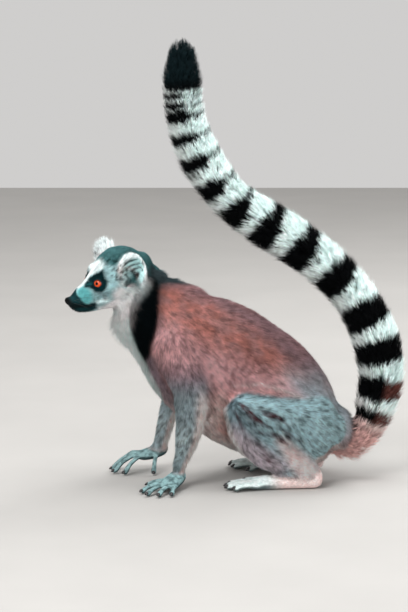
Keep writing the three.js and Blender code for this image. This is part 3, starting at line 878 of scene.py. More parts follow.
class Marks:
    """The coat's colours at points of the animal."""

    def __init__(self, points, normals, weights):
        self.p, self.n, self.w = points, normals, weights
        self.at = body_in_photo(points)
        self.face_at = head_in_photo(points)
        self.head = in_head(points)
        self.outwards = self.n[:, 1] * np.sign(self.p[:, 1])
        self.to_side = smoothstep(-0.1, 0.35, self.outwards - 0.3 * self.n[:, 0])

    def share(self, *regions):
        return sum(self.w[:, k] for k in numbers(*regions))

    def flat(self, rgb):
        return np.tile(linear(rgb), (len(self.p), 1))

    def astray(self, at, reach, size):
        """Places in the photograph moved about, so that an outline's edge wanders."""
        return at + reach * np.stack([cloud(self.p, size), cloud(self.p + 300, size)], axis=1)

    def colours(self):
        out = self.collar(self.trunk())
        for names, look in (
            (("upper_arm", "forearm"), Marks.arm), (("hand",), Marks.hand), (("thigh", "shank"), Marks.leg),
            (("foot",), Marks.foot), (("head", "nose"), Marks.face), (("ear",), Marks.ear),
            (("tail",), Marks.tail),
        ):
            share = self.share(*names)
            here = np.flatnonzero(share > 0.004)
            if len(here):
                part = Marks(self.p[here], self.n[here], self.w[here])
                out[here] = mix(out[here], look(part), share[here])
        return out

    def trunk(self):
        out = tinted(self.flat(BROWN), GREY_BROWN, 0.65 * smoothstep(-0.3, 0.6, cloud(self.p, 8.0)))
        out = painted(out, self.at, TRUNK_MARKS)
        out = painted(out, self.astray(self.at, 1.6, 9.0), FOLD_SHADE_MARKS)
        under = smoothstep(0.35, 0.85, -self.n[:, 2]) * smoothstep(-120, -60, self.p[:, 0])
        return tinted(out, PALE_PINK, under)

    def collar(self, out):
        """The dark nape, the pale throat and chest, and the black band down each side of the neck."""
        fore = self.share("neck", "trunk", "head")
        body = self.share("neck", "trunk")
        back = out
        out = tinted(out, NAPE_GREY, self.share("neck"))
        out = tinted(out, NAPE_GREY, within(self.at, NAPE, 6) * fore)
        out = mix(out, back, within(self.at, BACK_OUTLINE, 2.5))
        out = tinted(out, CHEST, within(self.at, CHEST_OUTLINE, 2) * fore)
        throat = within(self.at, THROAT_OUTLINE, 2.5)
        out = tinted(out, RUFF, throat * body)
        out = tinted(out, EAR_LOBE, stroke(self.at, EAR_LOBE_BELOW, [3, 4.5, 3.5], 3) * throat * body)
        band = within(self.at, BAND_OUTLINE, 1.8)
        return tinted(out, BAND, band * self.share("neck", "trunk", "upper_arm"))

    def arm(self):
        down = self.at[:, 1]
        out = tinted(self.flat(UPPER_ARM), ELBOW, smoothstep(372, 402, down))
        out = tinted(out, FOREARM, smoothstep(412, 440, down))
        out = mix(out, self.trunk(), smoothstep(388, 352, down))
        # The back of the forearm is paler: pale hair with painted rim light on the side that faces backwards.
        return tinted(out, PALE_PINK, smoothstep(0.1, 0.7, self.n[:, 0]) * smoothstep(385, 410, down))

    def hand(self):
        blotches = 0.6 * smoothstep(0.0, 0.5, cloud(self.p, 3.0))
        # Painted shade where the faces turn downwards, with the hand's own dark blotches.
        shade = np.maximum(smoothstep(0.35, -0.4, self.n[:, 2]), blotches)
        return tinted(self.flat(HAND), DARK_TEAL, shade * 0.9)

    def leg(self):
        out = painted(self.flat(THIGH), self.at, LEG_MARKS)
        # The pale fringe down the shank's front: pale hair with painted rim light.
        lit_fringe = stroke(self.at, SHANK_FRONT, [4.0] * len(SHANK_FRONT), 2.4)
        out = tinted(out, LIT_FRINGE, lit_fringe * self.share("shank", "thigh") * 0.9)
        out = tinted(out, PALE_PINK, smoothstep(0.0, -0.6, self.outwards) * 0.85)
        ragged = 0.4 + 0.6 * smoothstep(-0.4, 0.3, cloud(self.p, 5.0))
        at = self.astray(self.at, 2.6, 9.0)
        # Painted shade in the creases of the thigh's coat.
        for crease in CREASES:
            out = tinted(out, CREASE_SHADE, stroke(at, crease, [1.3, 2.8, 1.0], 1.0) * ragged)
        return out

    def foot(self):
        heel = smoothstep(262, 286, self.at[:, 0])
        out = tinted(self.flat(FOOT), PALE_PINK, heel)
        # Painted shade where the faces turn downwards, except at the heel.
        shade = smoothstep(0.3, -0.4, self.n[:, 2]) * (1 - heel)
        return tinted(out, DARK_TEAL, shade * 0.85)

    def tail(self):
        _, tangent, along, foot = nearest_on(self.p, TAIL_LINE)
        from_tip = TAIL_LONG - along
        inside = np.stack([-tangent[:, 2], np.zeros(len(tangent)), tangent[:, 0]], axis=1)
        bend = (unit(self.p - foot) * inside).sum(axis=1) * 0.5 + 0.5  # 1 on the inside of the curve
        # Painted shade: the white on the inside of the curve is greyer.
        out = tinted(self.flat(TAIL_WHITE), TAIL_SHADE_GREY, smoothstep(0.35, 1.0, bend) * 0.6)
        out = tinted(out, TAIL_ROOT, smoothstep(500, 545, from_tip))
        black = 1 - smoothstep(-2, 2, from_tip - TAIL_TIP)
        for centre, wide, narrow, turn in TAIL_RINGS:
            half = narrow + (wide - narrow) * smoothstep(turn, turn + 0.35, bend)
            black = np.maximum(black, 1 - smoothstep(half - 1.2, half + 1.2, np.abs(from_tip - centre)))
        out = tinted(out, BLACK, black)
        # The end of the tail: black with a painted teal sheen.
        out = tinted(out, TIP_SHEEN_BLACK, 1 - smoothstep(40, 60, from_tip))
        brown = black * smoothstep(0.5, 0.3, bend) * smoothstep(*TAIL_BROWN_FROM, from_tip / PX)
        return tinted(out, TAIL_BROWN, brown)

    def face(self):
        at = self.astray(self.face_at, 0.6, 4.0)
        ahead, aside, up = self.head[:, 0], np.abs(self.head[:, 1]), self.head[:, 2]
        out = painted(self.flat(TEMPLE), at, FACE_MARKS, aside)
        bridge = (1 - smoothstep(1.8, 4.6, aside)) * smoothstep(-51, -44, ahead)
        out = tinted(out, WHITE, bridge * smoothstep(-16, -8, up) * smoothstep(18, 8, up))
        out = painted(out, at, DARK_FACE_MARKS, aside)
        out = mix(out, self.ear(), within(at, EAR_WHOLE, 1.4) * self.to_side)
        behind = smoothstep(3, 9, ahead + 0.4 * (aside - 22)) * smoothstep(-16, -6, up)
        return tinted(out, CAP, behind)

    def ear(self):
        at = self.face_at
        out = tinted(self.flat(WHITE), EAR_LOBE, smoothstep(276, 288, at[:, 1]))
        out = tinted(out, EAR_INSIDE, within(at, EAR_HAIR, 1.4) * self.to_side)
        # Dark lines; the first is a painted shadow under the ear's upper rim.
        for line in EAR_LINES:
            out = tinted(out, DARK_TEAL, stroke(at, line, [0.4, 0.9, 0.3], 0.6) * self.to_side * 0.85)
        # Painted shade in the ear's opening.
        return tinted(out, BLACK, within(at, CONCHA, 0.9) * self.to_side)


# ---------- the coat ----------

def lie_of(points, nodes):
    """The way the hair lies at each point: along its node's line."""
    out = np.zeros_like(points)
    for k, name in enumerate(FLESH):
        here = np.flatnonzero(nodes == k)
        if not len(here):
            continue
        out[here] = line_direction(points[here], name)
    return out


EAR_ROOT = (6, 22, -2)  # in the head's frame, y outwards: the ear's hair spreads from here
EAR_LEAN = {LEFT: (0, -6, 12), RIGHT: (-9, 6, 15)}  # what is added to the way an ear's hair spreads
DOWNWARDS = {"trunk": (0.15, 0, -0.45), "neck": (0.1, 0, -0.7)}  # what is added to the line's direction


def line_direction(points, name):
    region = region_of(name)
    side = LEFT if name.endswith("left") else RIGHT
    if region == "tail":
        return nearest_on(points, TAIL_LINE)[1]
    if region == "ear":
        away = in_head(points) - np.array(EAR_ROOT) * [1, side, 1]
        return turned_z(unit(away + EAR_LEAN[side]), HEAD_TURN)
    if region in ("head", "nose"):
        return nearest_on(points, LIE["head"])[1] + face_parting(points)
    key = {"upper_arm": "arm", "forearm": "arm"}.get(region, region)
    if key in ("arm", "hand"):
        key += "_left" if side == LEFT else "_right"
    line = np.array(LIE[key], float)
    if name.endswith("right"):
        line = line * [1, -1, 1]
    return nearest_on(points, line)[1] + DOWNWARDS.get(region, (0, 0, 0))


def face_parting(points):
    """On the face, hair also runs out sideways and down from the bridge of the nose."""
    local = in_head(points)
    out = np.zeros_like(local)
    out[:, 1] = 0.5 * np.sign(local[:, 1]) * smoothstep(2, 16, np.abs(local[:, 1]))
    out[:, 2] = -0.55 * smoothstep(10, -12, local[:, 2])
    return turned_z(out, HEAD_TURN)


class Roots:
    """Places on the skin that tufts grow from."""

    def __init__(self, mesh, fields, density, rng):
        tri, points = triangles_of(mesh), points_of(mesh)
        a, b, c = (points[tri[:, k]] for k in range(3))
        area = 0.5 * np.linalg.norm(np.cross(b - a, c - a), axis=1)
        wanted = area * density[tri].mean(axis=1) / 100
        whole = np.floor(wanted).astype(int)
        count = whole + (rng.random(len(tri)) < wanted - whole)
        face = np.repeat(np.arange(len(tri)), count)
        a, b = rng.random(len(face)), rng.random(len(face))
        over = a + b > 1
        a[over], b[over] = 1 - a[over], 1 - b[over]
        self.corner = tri[face]
        self.share = np.stack([1 - a - b, a, b], axis=1)
        self.points = self.blend(points)
        self.fields = {name: self.blend(values) for name, values in fields.items()}

    def blend(self, values):
        picked = values[self.corner]
        share = self.share if values.ndim == 1 else self.share[:, :, None]
        return (picked * share).sum(axis=1)


LENGTHS, RISES, WIDTHS = (0.75, 1.2), (0.7, 1.0), (0.75, 1.25)  # the ranges of chance in a tuft's sizes
STANDS_OUT = 0.8  # the share of loose that a tuft's rise can gain
STEEPEST = 0.93  # the most that a tuft rises, as a share of its length
LOCKS = 0.16  # the share of tufts that the others near them lean towards
LOCK_REACH = (3.0, 7.0)  # from where to where the lean fades
SINK = 0.5  # how far a tuft's root is below the skin
MIDDLE, MIDDLE_WIDTH = 0.42, 0.8  # where along a tuft its second ring is, and how wide
BOW = 2.2  # how soon a tuft rises along its length
BELLY = 0.42  # how high a tuft is beside its width
PATCH = 0.003  # across a tuft's place in the UV map
TIP_GAP, TUFT_GAP = 0.25, 0.15  # between the floor and a tuft's tip, and the rest of it
WIDE_LUMPS, FLECK_LUMPS = 15.0, 2.4  # the sizes of the coat's lighter and darker places
# How much lighter or darker tufts are: each by chance, in wide lumps, and in small flecks.
CHANCE_SHADE, LUMP_SHADE, FLECK_DARKER, FLECK_LIGHTER = 0.13, 0.1, 0.72, 0.2


def clumped(tips, roots, pull, rng):
    """Draws the tips together in small locks."""
    seeds = rng.permutation(len(tips))[: max(1, int(len(tips) * LOCKS))]
    tree = tree_of_points(roots[seeds])
    owner = seeds[[tree.find(p)[1] for p in roots.tolist()]]
    reach = np.linalg.norm(roots - roots[owner], axis=1)
    pull = pull * (1 - smoothstep(*LOCK_REACH, reach))
    return tips + (tips[owner] - tips) * pull[:, None]


def held_in(tips, outline, loose):
    """Presses tips that stand out too far back towards the CAD's outline."""
    found = [outline.find_nearest(p) for p in to_scene(tips).tolist()]
    place = np.array([tuple(f[0]) for f in found]) / MM - SHIFT
    normal = np.array([tuple(f[1]) for f in found])
    out = dot(tips - place, normal)[:, 0]
    return tips - normal * np.maximum(out - loose, 0)[:, None]


def tuft_tips(f, root, normal, lie, outline, rng):
    """Where each tuft ends, and how far it rises from the skin."""
    length = f["length"] * rng.uniform(*LENGTHS, len(root))
    rise = f["rise"] * rng.uniform(*RISES, len(root))
    rise = rise + STANDS_OUT * f["loose"] * rng.random(len(root)) ** 2
    rise = np.minimum(rise, length * STEEPEST)
    run = np.sqrt(np.maximum(length**2 - rise**2, 0.01))
    tip = root + lie * run[:, None] + normal * rise[:, None]
    tip = clumped(tip, root, f["clump"], rng)
    tip = held_in(tip, outline, f["loose"] * rng.uniform(0.15, 1.0, len(root)))
    tip[:, 2] = np.maximum(tip[:, 2], TIP_GAP)
    return tip, rise


def tuft_points(root, normal, lie, rise, width, tip, rings):
    """One or two rings of three points along each tuft and a last point at its tip."""
    across = unit(np.cross(normal, lie))
    places = [(root - normal * SINK, 1.0)]
    if rings == 2:
        bow = normal * (rise * (1 - (1 - MIDDLE) ** BOW))[:, None]
        straight = root + (tip - root) * MIDDLE
        places.append((straight - normal * dot(straight - root, normal) + bow, MIDDLE_WIDTH))
    out = []
    for place, size in places:
        half = across * (width * 0.5 * size)[:, None]
        out += [place - half, place + normal * (width * BELLY * size)[:, None], place + half]
    points = np.stack(out + [tip], axis=1)
    points[:, :, 2] = np.maximum(points[:, :, 2], TUFT_GAP)
    return points


def tuft_faces(count, rings):
    top = 3 * (rings - 1)
    one = tube_faces(rings, 3) + [(top + i, top + (i + 1) % 3, 3 * rings) for i in range(3)]
    one = np.array(one)[:, ::-1]
    return (one[None] + (np.arange(count) * (3 * rings + 1))[:, None, None]).reshape(-1, 3)


def tuft_uv(uv, rings):
    """UV of each of a tuft's points: a small patch at its root's place."""
    across = [-0.5, 0.0, 0.5] * rings + [0.0]
    along = np.repeat(np.linspace(-0.5, 0.35, rings), 3).tolist() + [0.5]
    patch = np.stack([across, along], axis=1) * PATCH
    return np.clip(uv, PATCH, 1 - PATCH)[:, None, :] + patch[None]


def tuft_shades(f, root, rng):
    """How much lighter or darker each tuft is: by chance, in wide lumps, and in small flecks."""
    own = np.exp(rng.normal(0, CHANCE_SHADE, len(root))) * (1 + LUMP_SHADE * cloud(root, WIDE_LUMPS))
    lump = cloud(root, FLECK_LUMPS)
    darker = 1 - FLECK_DARKER * f["fleck"] * smoothstep(0.12, 0.6, lump)
    lighter = 1 + FLECK_LIGHTER * f["fleck"] * smoothstep(0, -0.5, lump)
    return own * darker * lighter


def tuft_colours(f, root, points, is_tail, rings, rng):
    """The markings' colours along each tuft, darker at the root with painted shade and lighter at its tip
    with painted light.
    """
    count, size = points.shape[:2]
    shares = np.array(np.repeat(np.linspace(0, 0.8, rings), 3).tolist() + [1.0])
    own = tuft_shades(f, root, rng)
    warm = 1 + rng.normal(0, 0.02, (count, 3))
    shades = f["root"][:, None] + (f["tip"] - f["root"])[:, None] * shares[None]
    if is_tail:
        seen = root + 0.8 * (points[:, -1] - root) + rng.normal(0, 1.0, (count, 3))
        colour = Marks(seen, np.zeros_like(seen), np.zeros((count, len(REGIONS)))).tail()
        colour = np.repeat(colour[:, None, :], size, axis=1)
    else:
        tip = Marks(points[:, -1], unit(f["normal"]), f["weights"]).colours()
        colour = mix(f["colour"][:, None, :], tip[:, None, :], np.sqrt(shares)[None, :, None])
    # Pale hair gets less of the painted shade.
    shades = shades + (1.1 - shades) * 0.7 * colour.mean(axis=2)
    return colour * (own[:, None] * warm)[:, None, :] * shades[:, :, None]


def tuft_mesh(name, roots, uv, picked, rings, outline, rng):
    """The tufts of one coat piece."""
    f = {key: values[picked] for key, values in roots.fields.items()}
    root = roots.points[picked]
    normal = unit(f["normal"])
    lie = unit(f["lie"] - normal * dot(f["lie"], normal) + 1e-6)
    swing = rng.normal(0, 1, len(root)) * f["stray"]
    lie = unit(lie + np.cross(normal, lie) * swing[:, None])
    tip, rise = tuft_tips(f, root, normal, lie, outline, rng)
    width = f["width"] * rng.uniform(*WIDTHS, len(root))
    points = tuft_points(root, normal, lie, rise, width, tip, rings)
    mesh = mesh_from(name, points.reshape(-1, 3), tuft_faces(len(root), rings))
    colours = tuft_colours(f, root, points, name.startswith("coat_tail"), rings, rng)
    paint(mesh, np.clip(colours, 0, 1).reshape(-1, 3))
    put_uv(mesh, tuft_uv(uv[picked], rings).reshape(-1, 2)[corners_of(mesh)])
    return mesh


# ---------- the unwrap ----------

MAP_FACETS = 5  # the size of the facets that are unwrapped


class Unwrap:
    """A map of the skin's shape, made on a coarse copy, that gives any place on the skin its UV."""

    def __init__(self, skin):
        obj = new_object("map", skin.data.copy())
        remesh(obj, MAP_FACETS)
        bpy.context.view_layer.objects.active = obj
        obj.select_set(True)
        bpy.ops.object.mode_set(mode="EDIT")
        bpy.ops.mesh.select_all(action="SELECT")
        bpy.ops.mesh.quads_convert_to_tris()
        bpy.ops.uv.smart_project(angle_limit=math.radians(60), island_margin=0.004)
        bpy.ops.object.mode_set(mode="OBJECT")
        mesh = obj.data
        self.uv = read(mesh.uv_layers.active.data, "uv", 2).reshape(-1, 3, 2).astype(float)
        self.tri = corners_of(mesh).reshape(-1, 3)
        self.points = points_of(mesh)
        self.tree = BVHTree.FromPolygons(self.points.tolist(), self.tri.tolist())
        low, high = self.uv.min(axis=(0, 1)), self.uv.max(axis=(0, 1))
        self.uv = 0.01 + 0.98 * (self.uv - low) / (high - low)
        bpy.data.objects.remove(obj)

    def faces(self, points):
        return np.array([self.tree.find_nearest(p)[2] for p in points.tolist()])

    def at(self, points, faces):
        """The UV of each point on the plane of its face."""
        a, b, c = (self.points[self.tri[faces, k]] for k in range(3))
        ab, ac, ap = b - a, c - a, points - a
        d00, d01, d11 = dot(ab, ab), dot(ab, ac), dot(ac, ac)
        d20, d21 = dot(ap, ab), dot(ap, ac)
        below = np.maximum(d00 * d11 - d01 * d01, 1e-9)
        v = (d11 * d20 - d01 * d21) / below
        w = (d00 * d21 - d01 * d20) / below
        uv = self.uv[faces]
        return np.clip(uv[:, 0] + v * (uv[:, 1] - uv[:, 0]) + w * (uv[:, 2] - uv[:, 0]), 0, 1)

    def put_on(self, mesh):
        """The map on every face of a mesh, each face wholly in one place."""
        points = points_of(mesh)
        corner = corners_of(mesh)
        sizes = read(mesh.polygons, "loop_total", kind=np.int32)
        owner = np.repeat(np.arange(len(sizes)), sizes)
        sums = [np.bincount(owner, weights=column) for column in points[corner].T]
        faces = self.faces(np.stack(sums, axis=1) / sizes[:, None])
        put_uv(mesh, self.at(points[corner], faces[owner]))


# ---------- materials ----------

class Look:
    """A material whose colour, roughness and relief a noise varies."""

    def __init__(self, name):
        self.material = bpy.data.materials.new(name)
        self.material.use_nodes = True
        self.tree = self.material.node_tree
        self.shader = self.tree.nodes["Principled BSDF"]

    def node(self, kind, **values):
        """A new node whose inputs have these values."""
        made = self.tree.nodes.new("ShaderNode" + kind)
        for key, value in values.items():
            made.inputs[key.replace("_", " ")].default_value = value
        return made

    def noise(self, scale, detail):
        made = self.node("TexNoise", Scale=scale, Detail=detail, Roughness=0.55)
        self.tree.links.new(self.node("TexCoord").outputs["Object"], made.inputs["Vector"])
        return made.outputs["Fac"]

    def vary_colour(self, colour, fac, low, high):
        share = self.node("MapRange", From_Min=0.3, From_Max=0.7, To_Min=low, To_Max=high)
        scaled = self.node("VectorMath")
        scaled.operation = "SCALE"
        self.tree.links.new(fac, share.inputs["Value"])
        self.tree.links.new(colour, scaled.inputs[0])
        self.tree.links.new(share.outputs["Result"], scaled.inputs["Scale"])
        self.tree.links.new(scaled.outputs["Vector"], self.shader.inputs["Base Color"])

    def vary_roughness(self, fac, low, high):
        share = self.node("MapRange", To_Min=low, To_Max=high)
        self.tree.links.new(fac, share.inputs["Value"])
        self.tree.links.new(share.outputs["Result"], self.shader.inputs["Roughness"])

    def vary_relief(self, fac, strength, distance):
        bump = self.node("Bump", Strength=strength, Distance=distance)
        self.tree.links.new(fac, bump.inputs["Height"])
        self.tree.links.new(bump.outputs["Normal"], self.shader.inputs["Normal"])


def painted_look(name, grain, colour, roughness, specular):
    """The colours painted on a mesh. grain: the noise's scale and detail; colour, roughness: their ranges."""
    look = Look(name)
    attribute = look.node("Attribute")
    attribute.attribute_name = "coat"
    fac = look.noise(*grain)
    look.vary_colour(attribute.outputs["Color"], fac, *colour)
    look.vary_roughness(fac, *roughness)
    look.shader.inputs["Specular IOR Level"].default_value = specular
    return look


def plain_look(name, rgb, grain, colour, roughness, relief=None):
    """One colour, varied in the same way. relief: the bump's strength and distance."""
    look = Look(name)
    base = look.node("RGB")
    base.outputs[0].default_value = (*linear(rgb), 1)
    fac = look.noise(*grain)
    look.vary_colour(base.outputs[0], fac, *colour)
    look.vary_roughness(fac, *roughness)
    if relief:
        look.vary_relief(fac, *relief)
    return look


def fur_look():
    look = painted_look("fur", (160, 3), (0.82, 1.18), (0.72, 0.92), 0.04)
    look.vary_relief(look.noise(2600, 2), 0.25, 0.0002)
    return look


def skin_look():
    look = painted_look("skin", (300, 4), (0.8, 1.2), (0.55, 0.9), 0.12)
    look.vary_relief(look.noise(1400, 3), 0.5, 0.0004)
    return look


def eye_look():
    look = painted_look("eye", (900, 3), (0.75, 1.25), (0.18, 0.3), 0.04)
    look.shader.inputs["Coat Weight"].default_value = 0.45
    look.shader.inputs["Coat Roughness"].default_value = 0.02
    return look


def piece_from(name, mesh, look):
    """A piece of the visual model that stands with the root body."""
    mesh.materials.append(look.material)
    piece = new_object(name, mesh)
    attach(piece, "root")
    return piece


# ---------- the animal ----------

def dress(skin, net, nodes, regions, gap):
    """Fields over the dense skin: colours, the lie of the coat and its lengths."""
    points, normals = points_of(skin.data), normals_of(skin.data)
    weights = net.smooth(np.eye(len(REGIONS))[regions], 18)
    lie = lie_of(points, nodes)
    lie = lie - normals * dot(lie, normals)
    lie = net.smooth(unit(lie + 1e-6), 25)
    lie = unit(lie - normals * dot(lie, normals))
    keys = ("length", "width", "dense", "stray", "loose", "clump", "fleck", "root", "tip")
    fields = {key: weights @ np.array([COAT[region][key] for region in REGIONS]) for key in keys}
    fields["rise"] = net.smooth(np.maximum(gap, 0.35), 6)
    fields["normal"] = net.smooth(normals, 4)
    fields["lie"] = lie
    fields["weights"] = weights
    fields["colour"] = Marks(points, normals, weights).colours()
    return fields


def scale(fields, area, **parts):
    """Makes fields larger by these parts of themselves where area is 1."""
    for key, part in parts.items():
        fields[key] = fields[key] * (1 + part * area)


def add(fields, area, **amounts):
    for key, amount in amounts.items():
        fields[key] = fields[key] + amount * area


def adjust_head(fields, points, w):
    """Short hair on the snout, long on the cheeks and the rims of the ears, and none on bare skin."""
    head, face_at = in_head(points), head_in_photo(points)
    x, z = head[:, 0], head[:, 2]
    face = w["head"] + w["nose"]
    scale(fields, smoothstep(-20, -46, x) * face, length=-0.62, width=-0.4, dense=0.5)
    scale(fields, smoothstep(-12, 10, x) * smoothstep(4, -14, z) * face, length=1.2)
    fields["fleck"] = np.maximum(fields["fleck"], 1.1 * within(face_at, FLECKED, 3) * (face + w["ear"]))
    bare = np.maximum(smoothstep(-57, -60, x) * face, w["nose"])
    lips = face * (1 - smoothstep(0.6, 1.4, mouth_distance(head)))
    lid = face * np.max([1 - smoothstep(1.05, 1.3, rim_at(head, side)) for side in (LEFT, RIGHT)], axis=0)
    scale(fields, np.clip(bare + lips + lid, 0, 1), dense=-1)
    scale(fields, within(face_at, CONCHA, 1.5) * w["ear"], dense=-0.85)
    rim = (1 - within(face_at, EAR_HAIR, 1.5)) * w["ear"]
    scale(fields, rim, length=0.5)
    add(fields, rim, loose=0.5)
    far_rim = w["ear"] * (head[:, 1] > 0) * smoothstep(14, 26, z)
    scale(fields, far_rim, length=1.2)
    add(fields, far_rim, loose=7.0, clump=0.6)


def adjust_neck(fields, points, w):
    """A full throat, and long pale hair without flecks on the chest."""
    at, backwards = body_in_photo(points), fields["normal"][:, 0]
    body = w["neck"] + w["trunk"]
    full = stroke(at, THROAT_FRONT, [8, 8, 7], 5) * (body + w["head"]) * smoothstep(0.1, -0.5, backwards)
    add(fields, full, rise=6.5, loose=7.0)
    scale(fields, full, length=0.3)
    chest = within(at, CHEST_OUTLINE, 4) * body
    front = chest * smoothstep(0.2, -0.6, backwards)
    add(fields, chest, loose=2.5)
    add(fields, front, loose=3.0)
    scale(fields, front, length=0.5)
    pale = np.maximum(chest, within(at, THROAT_OUTLINE, 3) * (body + w["head"]))
    scale(fields, pale, fleck=-0.7)
    # Less painted shade at the roots and more painted light at the tips of the pale hair.
    add(fields, pale, root=0.25, tip=0.25)


def adjust_tail(fields, points, w):
    """Shorter hair high up the tail, and a shaggy end."""
    upper = smoothstep(330, 420, points[:, 2]) * w["tail"]
    scale(fields, upper, length=-0.3, clump=-0.25)
    end = smoothstep(450, 478, points[:, 2]) * w["tail"]
    scale(fields, end, length=0.45)
    add(fields, end, clump=0.45, stray=0.14)


def adjust_limbs(fields, points, w):
    """Pale fringes behind the forearms and along the shanks, their hair lit with painted light, and bare
    palms and soles.
    """
    at = body_in_photo(points)
    leg = w["shank"] + w["thigh"]
    forearm = smoothstep(0.3, 0.85, fields["normal"][:, 0]) * w["forearm"]
    hock = stroke(at, HOCK_LINE, [5, 9, 11, 12], 5) * leg
    shank = stroke(at, SHANK_FRONT, [3.0] * len(SHANK_FRONT), 2.0) * leg
    lit_fringe = np.max([forearm, hock, shank], axis=0)
    scale(fields, lit_fringe, length=0.5, fleck=-0.8)
    # Painted light: the hair of the fringes and hocks is lighter from root to tip.
    add(fields, lit_fringe, loose=2.5, root=0.35, tip=0.35)
    under = smoothstep(0.2, 0.7, -fields["normal"][:, 2]) * (w["hand"] + w["foot"])
    scale(fields, under, dense=-1)


def adjust(fields, points):
    """Changes the coat from place to place within its regions."""
    weights = {region: fields["weights"][:, k] for k, region in enumerate(REGIONS)}
    for change in (adjust_head, adjust_neck, adjust_tail, adjust_limbs):
        change(fields, points, weights)


def mouth_distance(head):
    return nearest_on(head * [1, 0, 1] + np.abs(head) * [0, 1, 0], MOUTH_LINE)[0]


BEYOND_LIDS = 9.0  # what lid_opening is taken to be away from the eye


def rim_at(head, side):
    nasal, upward, away, ahead = eye_angles(head, side)
    return np.where((ahead > 0) & (away < EYE_RADIUS + 4), lid_opening(nasal, upward), BEYOND_LIDS)


# The coat's pieces: their slot and their regions.
COAT_PIECES = {
    "coat_head": ("white_fur", ("head", "nose", "ear")),
    "coat_neck": ("grey_fur", ("neck",)),
    "coat_trunk": ("brown_fur", ("trunk",)),
    "coat_tail": ("ringed_fur", ("tail",)),
    "coat_arms": ("grey_fur", ("upper_arm", "forearm")),
    "coat_legs": ("grey_fur", ("thigh", "shank")),
    "coat_paws": ("grey_fur", ("hand", "foot")),
}
PIECE_TRIANGLES = 190000


def grow_coat(dense, fields, unwrap, outline, rng):
    roots = Roots(dense.data, fields, fields["dense"], rng)
    uv = unwrap.at(roots.points, unwrap.faces(roots.points))
    region = roots.fields["weights"].argmax(axis=1)
    look = fur_look()
    for name, (slot, parts) in COAT_PIECES.items():
        picked = np.flatnonzero(np.isin(region, numbers(*parts)))
        order = picked[np.argsort(roots.points[picked, 0] + 0.3 * roots.points[picked, 2], kind="stable")]
        rings = COAT[parts[0]]["rings"]
        pieces = math.ceil(len(picked) * len(tuft_faces(1, rings)) / PIECE_TRIANGLES)
        for k, part in enumerate(np.array_split(order, pieces)):
            piece = name if pieces == 1 else f"{name}_{k + 1}"
            piece_from(piece, tuft_mesh(piece, roots, uv, part, rings, outline, rng), look)


EYE_RINGS, EYE_SIDES = 48, 64
EYE_BULGE, BULGE_REACH = 0.55, 0.55  # how far the eyeball's front stands out, and how far round, in radians
# From which to which angle from the eyeball's axis each part ends, in radians.
PUPIL_ENDS, IRIS_DARKENS, IRIS_ENDS = (0.22, 0.28), (0.40, 0.72), (0.70, 0.77)
PUPIL, EYE_REST = (4, 3, 3), (16, 10, 8)
# The upper lid's shade, and from where to where above the eye's middle it deepens.
LID_SHADE, LID_SHADE_RISES = 0.7, (0.5, 4.2)


def make_eyes():
    look = eye_look()
    for side, word in ((LEFT, "left"), (RIGHT, "right")):
        piece = piece_from(f"eyeball_{word}", eyeball(side), look)
        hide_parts(f"eye_{word}")


def eyeball(side):
    """A ball with a bulge over the iris, painted by the angle from its axis, darker under the upper lid."""
    look, across, up = eye_axes(side)
    angle = np.linspace(0, math.pi, EYE_RINGS + 1)[1:-1]
    turn = np.linspace(0, 2 * math.pi, EYE_SIDES, endpoint=False)
    a, t = (grid.ravel()[:, None] for grid in np.meshgrid(angle, turn, indexing="ij"))
    rays = np.cos(a) * look + np.sin(a) * (np.cos(t) * across + np.sin(t) * up)
    radius = EYE_RADIUS + EYE_BULGE * np.exp(-((a / BULGE_REACH) ** 2))
    poles = np.stack([look * (EYE_RADIUS + EYE_BULGE), -look * EYE_RADIUS])
    local = np.vstack([rays * radius, poles]) + EYE_IN_HEAD * [1, side, 1]
    faces = tube_faces(EYE_RINGS - 1, EYE_SIDES)
    front, back = len(rays), len(rays) + 1
    last_ring = len(rays) - EYE_SIDES
    for j in range(EYE_SIDES):
        k = (j + 1) % EYE_SIDES
        faces += [(front, k, j), (back, last_ring + j, last_ring + k)]
    polar = np.concatenate([a[:, 0], [0, math.pi]])
    colour = mix(linear(IRIS), linear(IRIS_EDGE), smoothstep(*IRIS_DARKENS, polar))
    colour = tinted(colour, EYE_REST, smoothstep(*IRIS_ENDS, polar))
    colour = tinted(colour, PUPIL, 1 - smoothstep(*PUPIL_ENDS, polar))
    lid_shade = smoothstep(*LID_SHADE_RISES, local[:, 2] - EYE_IN_HEAD[2])
    mesh = mesh_from("eyeball", out_of_head(local), faces)
    paint(mesh, colour * (1 - LID_SHADE * lid_shade)[:, None])
    return mesh


# Each digit: where it starts from its paw's middle, y outwards, its turn in degrees and its length.
FINGERS = [
    ((-12, 9.5), 16, 31), ((-14, 3.2), 4, 37), ((-14, -3.4), -8, 35), ((-12, -9.5), -20, 28),
    ((2, 9), 62, 24),
]
TOES = [
    ((-24, 7.5), 7, 27), ((-26, 1.5), 0, 29), ((-26, -4.5), -6, 29), ((-23, -10.5), -14, 25),
    ((-8, 10), 34, 30),
]
# Each paw: its middle, its turn, its side, its digits and their radius.
PAWS = [((-68, -55), 60, LEFT, FINGERS, 3.7), ((-94, 43), 20, RIGHT, FINGERS, 3.7),
        ((45, -53), 4, LEFT, TOES, 4.4), ((51, 50), -4, RIGHT, TOES, 4.4)]


TIP_ALONG = 0.92  # where a digit's tip is, as a share of its length


def digit_ends():
    """Each digit's tip on the floor and the way it points."""
    for at, turn, side, digits, radius in PAWS:
        spin = math.radians(turn)
        for (x, y), fan, length in digits:
            angle = math.radians(fan)
            ahead = np.array([-math.cos(angle), -side * math.sin(angle), 0.0])
            tip = np.array([x, -side * y, 0.0]) + ahead * length * TIP_ALONG
            yield turned_z(tip, spin) + [at[0], at[1], 0], turned_z(ahead, spin), radius


